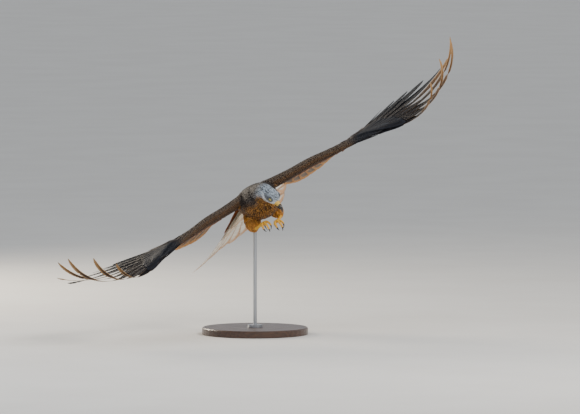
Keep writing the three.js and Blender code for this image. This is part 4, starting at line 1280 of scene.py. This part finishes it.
def lid_ring():
    """A closed ring round the eye's axis, a little thicker above."""
    a = 2 * np.pi * np.arange(LID_STEPS) / LID_STEPS
    b = 2 * np.pi * np.arange(LID_SIDES) / LID_SIDES
    above = np.maximum(0.0, np.sin(a))
    rim, high, thick = 5.5 + 0.25 * np.cos(2 * a), 4.75 + 0.35 * above, 0.75 + 0.25 * above
    outward = np.stack([np.cos(a), np.sin(a)], -1)
    flat = outward[:, None] * (rim[:, None] + thick[:, None] * np.cos(b))[..., None]
    rise = high[:, None] + thick[:, None] * np.sin(b)
    points = np.concatenate([flat, rise[..., None]], -1).reshape(-1, 3)
    k, j = np.meshgrid(np.arange(LID_STEPS), np.arange(LID_SIDES), indexing="ij")
    this_row, next_row = k * LID_SIDES, (k + 1) % LID_STEPS * LID_SIDES
    j_next = (j + 1) % LID_SIDES
    quads = np.stack([this_row + j, next_row + j, next_row + j_next, this_row + j_next], -1)
    return points, quads.reshape(-1, 4)


eyes, lids = {}, {}
for way, label in ((1, "left"), (-1, "right")):
    axes, eye_middle = eye_axes(way), EYE_AT * [way, 1, 1]
    points, quads = turned(eye_profile(), 40)
    off_axis = np.where(points[:, 2] > 0, np.hypot(points[:, 0], points[:, 1]), 9)
    placed = on_head(points @ axes.T + eye_middle)
    iris = blend(srgb("050505"), srgb("c9bd62"), smooth(2.5, 2.75, off_axis))
    iris = blend(iris, srgb("8a7c34"), smooth(3.6, 4.5, off_axis))
    iris = blend(iris, srgb("120f0d"), smooth(4.6, 5.0, off_axis))
    eyes[label] = mesh_piece("eye_ball_" + label, placed, quads, colours={"plume": iris})
    points, quads = lid_ring()
    lids[label] = mesh_piece("eye_lid_" + label, on_head(points @ axes.T + eye_middle), quads)
print("eyes", 2 * EYE_RADIUS, "mm across")

# %% [markdown]
# ## Bill and cere
# The cere is soft waxy skin that carries the nostrils. The bill is horn, hooked over the lower half.
# Both follow the solids' sections, with more rings and rounder flanks, and the nostrils are pressed in.
# %% Bill and cere
CERE = [
    [-26, -4.8, 10, 10, 4.8], [-29, -5, 9.3, 9.6, 4.4], [-32, -5, 8.6, 9.2, 4], [-37, -5, 7.5, 8.5, 3.4],
    [-39.6, -5, 6.7, 7.9, 3.1],
]
BILL_UPPER = [
    [-38.5, -5, 6.5, 7.6, 3.1], [-42, -5.2, 6.3, 7.6, 3], [-46, -5.6, 5.8, 7.4, 3], [-52, -7, 4.6, 6.4, 3.4],
    [-57, -10, 3.3, 4.8, 4.4], [-60, -14.5, 2.1, 3, 4], [-60.5, -19, 0.9, 1.5, 2],
]
BILL_LOWER = [
    [-27, -11.6, 7.4, 1.6, 3.6], [-36, -11, 6.3, 1.6, 3.4], [-44, -10.9, 5, 1.5, 2.9],
    [-50, -11.9, 3.2, 1, 1.9], [-51.5, -12.3, 1.6, 0.6, 1],
]
# The corner of the mouth, as rows of x, y, z, radius
GAPE = [
    [8.2, -30, -9.6, 1.1], [9.8, -25.5, -9.9, 1.25], [12.0, -20.5, -10.2, 1.1], [14.2, -15.5, -10.6, 0.55],
]
NOSTRIL = np.array([7.6, -34.0, -2.0])


def bill_form(sections):
    return body_loft(sections, 44, 0, 6)


def press_nostrils(points):
    """Presses a nostril into each side, and says how deep in one each point lies."""
    depth = np.zeros(len(points))
    for way in (1, -1):
        off = (points - NOSTRIL * [way, 1, 1]) * [0.6, 0.75, 1.25]
        pit = np.exp(-(off**2).sum(1) / 1.9)
        points[:, 0] -= way * 1.7 * pit
        depth = np.maximum(depth, pit)
    return depth


points, quads = bill_form(CERE)
# The nostril pits are darkened by their depth: painted shade in the hollows
wax = blend(srgb("cba23c"), srgb("2a1a10"), smooth(0.35, 0.8, press_nostrils(points)))
cere = mesh_piece("cere_skin", on_head(points), quads, colours={"plume": wax})
bill = {}
for label, sections in (("upper", BILL_UPPER), ("lower", BILL_LOWER)):
    points, quads = bill_form(sections)
    bill[label] = mesh_piece("bill_" + label + "_horn", on_head(points), quads)
gape_parts = []
for way in (1, -1):
    points, quads = limb_loft([[way * x, y, z, r] for x, y, z, r in GAPE], 12)
    gape_parts.append((on_head(points), quads))
gape = mesh_piece("gape", *joined(gape_parts))
print("bill of", len(bill["upper"].data.vertices) + len(bill["lower"].data.vertices), "points")

# %% [markdown]
# ## Feet
# The legs are lifted to the bill. Each toe has pads below and a row of scutes above, and ends in a curved
# claw. Toes, palm and leg are fused so that they join without seams, then scutes are set on top.
# %% Feet and claws
TARSUS = {
    "left": [[34, -47, -91, 4.9], [17, -73, -95, 4.4], [-2, -95, -96, 5.6]],
    "right": [[-62, -46, -87, 4.9], [-49, -68, -84, 4.4], [-36, -88, -80, 5.6]],
}
# Each toe: turn, length, bend and radius. The last is the hind toe. Then the length of each claw
TOES = [[40, 31, 112, 4.1], [3, 41, 125, 4.1], [-36, 32, 112, 3.9], [180, 24, 82, 4.3]]
CLAWS = [19, 20, 17, 21]
FOOT_TURN = {"right": -8, "left": 6}
FOOT_VOXEL = 0.75


def toe_path(hub, turn, length, bend, radius, hind):
    """Rows along a toe, swollen at its joints, and the level way that it points."""
    heading_angle = math.radians(turn)
    out = ahead(math.sin(heading_angle), math.cos(heading_angle), 0)
    spot, rows = hub.copy(), []
    pieces = 7
    for i in range(pieces + 1):
        share = i / pieces
        joint = 1 + 0.14 * math.cos(share * math.pi * (2 if hind else 6))
        rows.append([*spot, radius * joint * (1 - 0.28 * share)])
        angle = math.radians(18 - bend * (share + 0.5 / pieces))
        along, upward_by = math.cos(angle) * length / pieces, math.sin(angle) * length / pieces
        spot = spot + out * along + np.array([0, 0, upward_by])
    return rows, out


def claw_path(start, out, bend, length):
    """Rows along a claw that goes on from its toe and bends down to a point."""
    rows, tip = [], np.array(start, float)
    for i in range(11):
        share = i / 10
        rows.append([*tip, 2.75 + (0.3 - 2.75) * share**0.8])
        angle = math.radians(18 - bend - 8 - 62 * share)
        tip = tip + out * (math.cos(angle) * length / 10) + np.array([0, 0, math.sin(angle) * length / 10])
    return rows


def scutes(rows, first, last, count, lift):
    """Small raised plates on the upper side of a path, as closed bent slabs."""
    line = curve_through(rows, 60)
    made = []
    for s in np.linspace(first, last, count):
        k = int(s * 58)
        centre, way, r = line[k, :3], unit(line[k + 1, :3] - line[k, :3]), line[k, 3]
        up = np.array([0, 0, 1.0]) + lift
        up = unit(up - (up @ way) * way)
        side = np.cross(way, up)
        long = (last - first) / count * np.linalg.norm(line[-1, :3] - line[0, :3]) * 0.62
        rings = []
        for t, rise in ((-1, 0.1), (-0.55, 0.42), (0.35, 0.5), (1, 0.05)):
            arc = np.radians(np.array([-62, -40, -14, 14, 40, 62]))
            spot = centre + way * long * t
            bow = np.cos(arc)[:, None] * up + np.sin(arc)[:, None] * side
            rings.append(np.vstack([spot + (r + rise) * bow, spot + (r - 0.7) * bow[::-1]]))
        made.append((np.vstack(rings), tube_quads(4, 12)))
    return made


feet, claws = {}, {}
for label, tarsus in TARSUS.items():
    hub = np.array(tarsus[2][:3], float)
    palm = [[*(hub + [0, 0, up]), radius] for up, radius in ((4.4, 3.2), (2, 6), (-2, 6), (-4.8, 3))]
    solid_parts = [limb_loft(tarsus, 20, steps=8), limb_loft(palm, 16)]
    plates, claw_parts = [], []
    for k, (turn, length, bend, radius) in enumerate(TOES):
        rows, out = toe_path(hub, turn + FOOT_TURN[label], length, bend, radius, k == 3)
        solid_parts.append(limb_loft(rows, 18))
        plates += scutes(rows, 0.3, 0.96, 9 if k != 3 else 6, out * 0.9)
        claw_parts.append(limb_loft(claw_path(rows[-1][:3], out, bend, CLAWS[k]), 14, steps=3))
    plates += scutes(tarsus, 0.12, 0.85, 11, np.array([0, -0.8, 0.2]))
    foot = fused(*joined(solid_parts), FOOT_VOXEL, 3)
    feet[label] = mesh_piece("foot_skin_" + label, *joined([foot, *plates]))
    claws[label] = mesh_piece("claws_horn_" + label, *joined(claw_parts))
print("scutes on each foot", len(plates))

# %% [markdown]
# ## Shared shader groups
# Two effects serve several materials, so each is a node group with named inputs and outputs.
# "Feather vane" turns the place on a vane into streak, edge, bars and fine barbs. "Fine grain" breaks up
# a colour and its roughness with noise at a chosen size.
# %% Node group helpers
def node(tree, kind, **settings):
    made = tree.nodes.new(kind)
    for key, value in settings.items():
        setattr(made, key, value)
    return made


def rgba(colour):
    return (*[float(v) for v in colour[:3]], 1)


def maths(tree, operation, *values):
    made = node(tree, "ShaderNodeMath", operation=operation)
    for socket, value in zip(made.inputs, values):
        if isinstance(value, (int, float)):
            socket.default_value = value
        else:
            tree.links.new(value, socket)
    return made.outputs[0]


def ramp(tree, value, low, high):
    made = node(tree, "ShaderNodeMapRange", interpolation_type="SMOOTHSTEP")
    for name, setting in (("Value", value), ("From Min", low), ("From Max", high)):
        if isinstance(setting, (int, float)):
            made.inputs[name].default_value = setting
        else:
            tree.links.new(setting, made.inputs[name])
    return made.outputs["Result"]


def mixed(tree, share, a, b, how="MIX"):
    made = node(tree, "ShaderNodeMix", data_type="RGBA", blend_type=how)
    for socket, value in ((made.inputs[0], share), (made.inputs[6], a), (made.inputs[7], b)):
        if isinstance(value, (int, float)):
            socket.default_value = value
        elif isinstance(value, (tuple, list, np.ndarray)):
            socket.default_value = rgba(value)
        else:
            tree.links.new(value, socket)
    return made.outputs[2]


def group(name, inputs, outputs):
    """A new node group, the sockets that it is given and the sockets of its result."""
    tree = bpy.data.node_groups.new(name, "ShaderNodeTree")
    for label, kind, value in inputs:
        socket = tree.interface.new_socket(label, in_out="INPUT", socket_type="NodeSocket" + kind)
        socket.default_value = value
    for label, kind in outputs:
        tree.interface.new_socket(label, in_out="OUTPUT", socket_type="NodeSocket" + kind)
    return tree, node(tree, "NodeGroupInput").outputs, node(tree, "NodeGroupOutput").inputs


print("helpers for node groups ready")

# %% [markdown]
# ## The feather vane
# One texture coordinate runs across a vane and one along it, so every feather, large or small, gets its
# marks from the same few sums. Painted pictures would need one for each kind, and blur when seen close.
# %% Feather vane group
FULL_TURN = 6.2832
vane_group, given, result = group(
    "Feather vane",
    [("Plume", "Color", (0.2, 0.1, 0.05, 1)), ("Edge", "Color", (0.5, 0.4, 0.3, 1)),
     ("Marks", "Color", (0.5, 0.5, 0, 1)), ("Dark", "Color", rgba(STREAK)), ("Barbs", "Float", 60.0),
     ("Bar Count", "Float", 9.0)],
    [("Color", "Color"), ("Roughness", "Float"), ("Height", "Float")],
)
add_link = vane_group.links.new


def calc(operation, *values):
    return maths(vane_group, operation, *values)


def times(a, b):
    return calc("MULTIPLY", a, b)


def rising(value, low, high):
    return ramp(vane_group, value, low, high)


place = node(vane_group, "ShaderNodeUVMap", uv_map="Vane")
split = node(vane_group, "ShaderNodeSeparateXYZ")
add_link(place.outputs[0], split.inputs[0])
across, length_share = split.outputs[:2]
from_shaft = calc("ABSOLUTE", calc("MULTIPLY_ADD", across, 2.0, -1.0))
marks_split = node(vane_group, "ShaderNodeSeparateColor")
add_link(given["Marks"], marks_split.inputs[0])
streak_mark, edge_mark, bar_mark = marks_split.outputs[:3]
where = node(vane_group, "ShaderNodeTexCoord")
wobble = node(vane_group, "ShaderNodeTexNoise")
wobble.inputs["Scale"].default_value = 120
add_link(where.outputs["Object"], wobble.inputs["Vector"])
uneven = wobble.outputs[0]
# The dark streak lies along the shaft and fades at both ends
near_shaft = calc("SUBTRACT", 1.0, rising(from_shaft, 0.10, 0.42))
streak = times(near_shaft, times(rising(length_share, 0.1, 0.45), rising(length_share, 1.0, 0.86)))
streak = times(streak, streak_mark)
# The pale edge runs round the tip and fades toward the root
toward_tip = rising(length_share, 0.5, 1.0)
rim = calc("SQRT", calc("ADD", calc("POWER", from_shaft, 2.0), times(calc("POWER", toward_tip, 2.0), 0.75)))
fringe = times(times(rising(rim, 0.64, 0.98), edge_mark), rising(length_share, 0.25, 0.6))
# Bars cross the vane, broken up by noise
slanted = calc("ADD", length_share, times(from_shaft, -0.05))
wave = calc("SINE", times(times(slanted, FULL_TURN), given["Bar Count"]))
wave = calc("ADD", wave, calc("MULTIPLY_ADD", uneven, 1.2, -0.6))
bars = times(rising(wave, 0.15, 0.75), times(bar_mark, rising(length_share, 0.25, 0.4)))
# Fine barbs slant away from the shaft
fine = calc("ADD", times(length_share, given["Barbs"]), times(times(from_shaft, given["Barbs"]), -0.22))
barb = calc("SINE", times(fine, FULL_TURN))
shade = mixed(vane_group, times(bars, 0.75), given["Plume"], given["Dark"])
shade = mixed(vane_group, streak, shade, given["Dark"])
shade = mixed(vane_group, fringe, shade, given["Edge"])
tint = calc("ADD", times(barb, 0.05), calc("MULTIPLY_ADD", uneven, 0.5, 0.75))
grey = node(vane_group, "ShaderNodeCombineColor")
for socket in grey.inputs[:3]:
    add_link(tint, socket)
add_link(mixed(vane_group, 1.0, shade, grey.outputs[0], "MULTIPLY"), result["Color"])
add_link(calc("MULTIPLY_ADD", uneven, 0.2, 0.5), result["Roughness"])
add_link(calc("MULTIPLY_ADD", barb, 0.5, 0.5), result["Height"])
print("group", vane_group.name, "with", len(vane_group.nodes), "nodes")

# %% [markdown]
# ## Fine grain
# Skin, wax, horn, wood and steel are never one flat colour. Noise of a chosen size, stretched along the
# grain where there is one, shifts a surface between two colours and two degrees of shine.
# %% Fine grain group
grain_group, given, result = group(
    "Fine grain",
    [("Base", "Color", (0.5, 0.5, 0.5, 1)), ("Second", "Color", (0.3, 0.3, 0.3, 1)),
     ("Scale", "Float", 200.0), ("Amount", "Float", 0.5),
     ("Roughness Low", "Float", 0.4), ("Roughness High", "Float", 0.6),
     ("Stretch", "Vector", (1, 1, 1))],
    [("Color", "Color"), ("Roughness", "Float"), ("Height", "Float")],
)
add_link = grain_group.links.new
where = node(grain_group, "ShaderNodeTexCoord")
stretched = node(grain_group, "ShaderNodeVectorMath", operation="MULTIPLY")
add_link(where.outputs["Object"], stretched.inputs[0])
add_link(given["Stretch"], stretched.inputs[1])
grain_noise = node(grain_group, "ShaderNodeTexNoise")
grain_noise.inputs["Detail"].default_value = 5
add_link(stretched.outputs[0], grain_noise.inputs["Vector"])
add_link(given["Scale"], grain_noise.inputs["Scale"])
spread = ramp(grain_group, grain_noise.outputs[0], 0.3, 0.7)
share = maths(grain_group, "MULTIPLY", spread, given["Amount"])
add_link(mixed(grain_group, share, given["Base"], given["Second"]), result["Color"])
low_high = node(grain_group, "ShaderNodeMapRange")
add_link(spread, low_high.inputs["Value"])
add_link(given["Roughness Low"], low_high.inputs["To Min"])
add_link(given["Roughness High"], low_high.inputs["To Max"])
add_link(low_high.outputs["Result"], result["Roughness"])
add_link(grain_noise.outputs[0], result["Height"])
print("group", grain_group.name, "with", len(grain_group.nodes), "nodes")

# %% [markdown]
# ## Materials
# Plumage is soft and scatters light at its edge, so it gets a little sheen. The coats share one pattern,
# and differ in how many barbs and bars a feather has. Constants stay on the shader's own sockets.
# %% Plumage materials
def material(name, **sockets):
    made = bpy.data.materials.new(name)
    made.use_nodes = True
    shader = made.node_tree.nodes["Principled BSDF"]
    for key, value in sockets.items():
        shader.inputs[key.replace("_", " ")].default_value = value
    return made, made.node_tree, shader


def placed_group(tree, source, **values):
    made = node(tree, "ShaderNodeGroup", node_tree=source)
    for key, value in values.items():
        made.inputs[key.replace("_", " ")].default_value = value
    return made


def bump_from(tree, shader, height, distance):
    bump = node(tree, "ShaderNodeBump")
    bump.inputs["Strength"].default_value = 1.0
    bump.inputs["Distance"].default_value = distance
    tree.links.new(height, bump.inputs["Height"])
    tree.links.new(bump.outputs[0], shader.inputs["Normal"])


def surface_from(tree, shader, pattern, bump):
    """Joins a pattern's colour, roughness and height to the shader."""
    tree.links.new(pattern.outputs["Color"], shader.inputs["Base Color"])
    tree.links.new(pattern.outputs["Roughness"], shader.inputs["Roughness"])
    bump_from(tree, shader, pattern.outputs["Height"], bump)


def plumage_material(name, barbs, bar_count, sheen, shine, bump):
    made, tree, shader = material(name, Sheen_Weight=sheen, Sheen_Roughness=0.5, Specular_IOR_Level=shine)
    pattern = placed_group(tree, vane_group, Barbs=barbs, Bar_Count=bar_count)
    for label in ("plume", "edge", "marks"):
        source = node(tree, "ShaderNodeAttribute", attribute_name=label)
        tree.links.new(source.outputs["Color"], pattern.inputs[label.capitalize()])
    surface_from(tree, shader, pattern, bump)
    return made


body_plumage = plumage_material("body_plumage", 46.0, 3.0, 0.03, 0.1, 0.0001)
head_plumage = plumage_material("head_plumage", 26.0, 2.0, 0.05, 0.12, 0.00007)
wing_plumage = plumage_material("wing_plumage", 46.0, 4.0, 0.02, 0.1, 0.0001)
flight_plumage = plumage_material("flight_plumage", 150.0, 8.0, 0.0, 0.1, 0.00025)
tail_plumage = plumage_material("tail_plumage", 150.0, 10.0, 0.05, 0.15, 0.00025)
skin_material, tree, shader = material("skin_down", Sheen_Weight=0.3)
down = placed_group(tree, grain_group, Scale=420.0, Amount=0.5, Roughness_Low=0.7, Roughness_High=0.9)
source = node(tree, "ShaderNodeAttribute", attribute_name="plume")
tree.links.new(source.outputs["Color"], down.inputs["Base"])
tree.links.new(mixed(tree, 0.7, source.outputs["Color"], tuple(STREAK)), down.inputs["Second"])
surface_from(tree, shader, down, 0.001)
print("plumage materials and the skin under them made")

# %% [markdown]
# ## Horn, wax, eye and stand
# These are hard or waxy, so light glances off them. Each gets fine grain in two colours close together.
# The eyes and the cere take their colour from the mesh, since the pupil and the nostrils' painted shade are
# drawn there.
# %% Horn, skin, eye and stand materials
def grained(name, base, second, scale, amount, rough, bump, stretch=(1, 1, 1), **sockets):
    made, tree, shader = material(name, **sockets)
    grain = placed_group(tree, grain_group, Scale=scale, Amount=amount, Roughness_Low=rough[0],
                         Roughness_High=rough[1], Stretch=stretch)
    grain.inputs["Base"].default_value = rgba(srgb(base))
    grain.inputs["Second"].default_value = rgba(srgb(second))
    surface_from(tree, shader, grain, bump)
    return made


horn = grained("horn", "191614", "3a332d", 260.0, 0.6, (0.22, 0.38), 0.00015, Coat_Weight=0.3)
toe_skin = grained("toe_skin", "d8a32c", "b07618", 380.0, 0.55, (0.4, 0.6), 0.0004,
                   Subsurface_Weight=0.1, Subsurface_Scale=0.002)
gape_skin = grained("gape_skin", "cf9c3c", "a9743a", 500.0, 0.5, (0.4, 0.55), 0.0002)
lid_skin = grained("lid_skin", "2c2622", "5d4f34", 600.0, 0.5, (0.45, 0.6), 0.0001)
stand_wood = grained("stand_wood", "4b3122", "2c1b12", 26.0, 0.85, (0.32, 0.48), 0.0006, (1, 9, 9),
                     Coat_Weight=0.25, Coat_Roughness=0.25)
stand_steel = grained("stand_steel", "b9bcc0", "9a9da2", 300.0, 0.5, (0.28, 0.42), 0.00004, (1, 1, 0.05),
                      Metallic=1.0)


def tinted(name, scale, rough, **sockets):
    """A material whose colour comes from the piece's own points, over fine grain."""
    made, tree, shader = material(name, **sockets)
    grain = placed_group(tree, grain_group, Scale=scale, Amount=0.25, Roughness_Low=rough[0],
                         Roughness_High=rough[1])
    source = node(tree, "ShaderNodeAttribute", attribute_name="plume")
    tree.links.new(source.outputs["Color"], grain.inputs["Base"])
    tree.links.new(mixed(tree, 0.4, source.outputs["Color"], (0.02, 0.015, 0.01)), grain.inputs["Second"])
    surface_from(tree, shader, grain, 0.0001)
    return made


eye_surface = tinted("eye_surface", 900.0, (0.04, 0.08), Coat_Weight=1.0, Coat_Roughness=0.02)
cere_wax = tinted("cere_wax", 700.0, (0.3, 0.45), Coat_Weight=0.15)
print("materials in all", len(bpy.data.materials))

# %% [markdown]
# ## Put the pieces on the bird
# Every piece rides on the one body, takes the finish it is given, and stands in for the
# plain solids it covers.
# %% Ride, replace and finish
def wear(piece, look, slot, *nodes):
    piece.data.materials.clear()
    piece.data.materials.append(look)
    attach(piece, "root")
    if nodes:
        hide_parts(*nodes)


wear(skin, skin_material, "body_plumage", "torso", "neck", "head", "thigh_left", "thigh_right")
wear(coat["feathers_head"], head_plumage, "head_plumage")
wear(coat["feathers_neck"], head_plumage, "head_plumage")
wear(coat["feathers_body"], body_plumage, "body_plumage")
for label in ("left", "right"):
    wear(coat["feathers_arm_" + label], wing_plumage, "wing_plumage")
    wear(flight["flight_" + label], flight_plumage, "flight_plumage",
         "wing_hand_" + label, "wing_arm_" + label)
    wear(flight["coverts_" + label], wing_plumage, "wing_plumage")
    wear(eyes[label], eye_surface, "eye_surface", "eye_" + label)
    wear(lids[label], lid_skin, "bare_skin")
    wear(feet[label], toe_skin, "bare_skin", "foot_" + label)
    wear(claws[label], horn, "horn", *["claw_" + label + "_" + str(k) for k in range(1, 5)])
wear(tail_piece, tail_plumage, "tail_plumage", "tail")
wear(cere, cere_wax, "bare_skin", "cere")
wear(gape, gape_skin, "bare_skin")
wear(bill["upper"], horn, "horn", "bill_upper")
wear(bill["lower"], horn, "horn", "bill_lower")
for name, look in (("stand_base", stand_wood), ("stand_rod", stand_steel)):
    stand_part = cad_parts[name]
    stand_part.data.materials.clear()
    stand_part.data.materials.append(look)

# %% [markdown]
# ## Floor and light
# A plain pale floor and three large soft lamps, as in a studio. The key lamp stands in front on the bird's
# left and a cool fill in front on its right. A warm rim lamp behind stands for the low sun of the picture.
# %% Floor and lamps
FLOOR_REACH, FLOOR_LEVEL = 90.0, -0.0005
corners = [(FLOOR_REACH * x, FLOOR_REACH * y, FLOOR_LEVEL) for x, y in ((-1, -1), (1, -1), (1, 1), (-1, 1))]
floor_mesh = bpy.data.meshes.new("floor")
floor_mesh.from_pydata(corners, [], [(0, 1, 2, 3)])
floor = bpy.data.objects.new("floor", floor_mesh)
bpy.context.scene.collection.objects.link(floor)
floor.data.materials.append(grained("floor_paint", "d9d7d3", "cfccc8", 3.0, 0.4, (0.8, 0.9), 0.0002))
floor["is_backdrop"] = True


def lamp(name, place_at, aim, size, power, colour):
    data = bpy.data.lights.new(name, "AREA")
    data.shape = "DISK"
    data.size = size
    data.energy = power
    data.color = colour
    made = bpy.data.objects.new(name, data)
    made.location = place_at
    made.rotation_euler = (Vector(aim) - Vector(place_at)).to_track_quat("-Z", "Y").to_euler()
    bpy.context.scene.collection.objects.link(made)


aim = (0, 0, 0.45)
lamp("key", (1.6, -2.6, 2.8), aim, 1.4, 120, (1.0, 0.96, 0.9))
lamp("fill", (-2.8, -1.6, 2.2), aim, 2.0, 40, (0.82, 0.9, 1.0))
lamp("rim", (-1.5, 2.6, 1.3), aim, 1.1, 105, (1.0, 0.88, 0.7))
world = bpy.data.worlds.new("studio")
bpy.context.scene.world = world
world.use_nodes = True
world.node_tree.nodes["Background"].inputs["Color"].default_value = (0.86, 0.90, 0.95, 1)
world.node_tree.nodes["Background"].inputs["Strength"].default_value = 0.7
print("floor", 2 * FLOOR_REACH, "m wide and 3 lamps")

# %% [markdown]
# ## Feathers stand a little proud of the solids.
# The box of the dressed bird and its number of triangles are printed before the file ends. The dressed
# bird has to stay in the box of its solids, apart from the little that feathers stand proud. Both boxes
# are written down before the file ends.
# %% Measure and finish
low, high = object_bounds()
triangles = sum(sum(len(p.vertices) - 2 for p in o.data.polygons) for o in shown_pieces() if o.type == "MESH")
print("visual box", [round(v, 3) for v in (*low, *high)], "triangles", triangles)
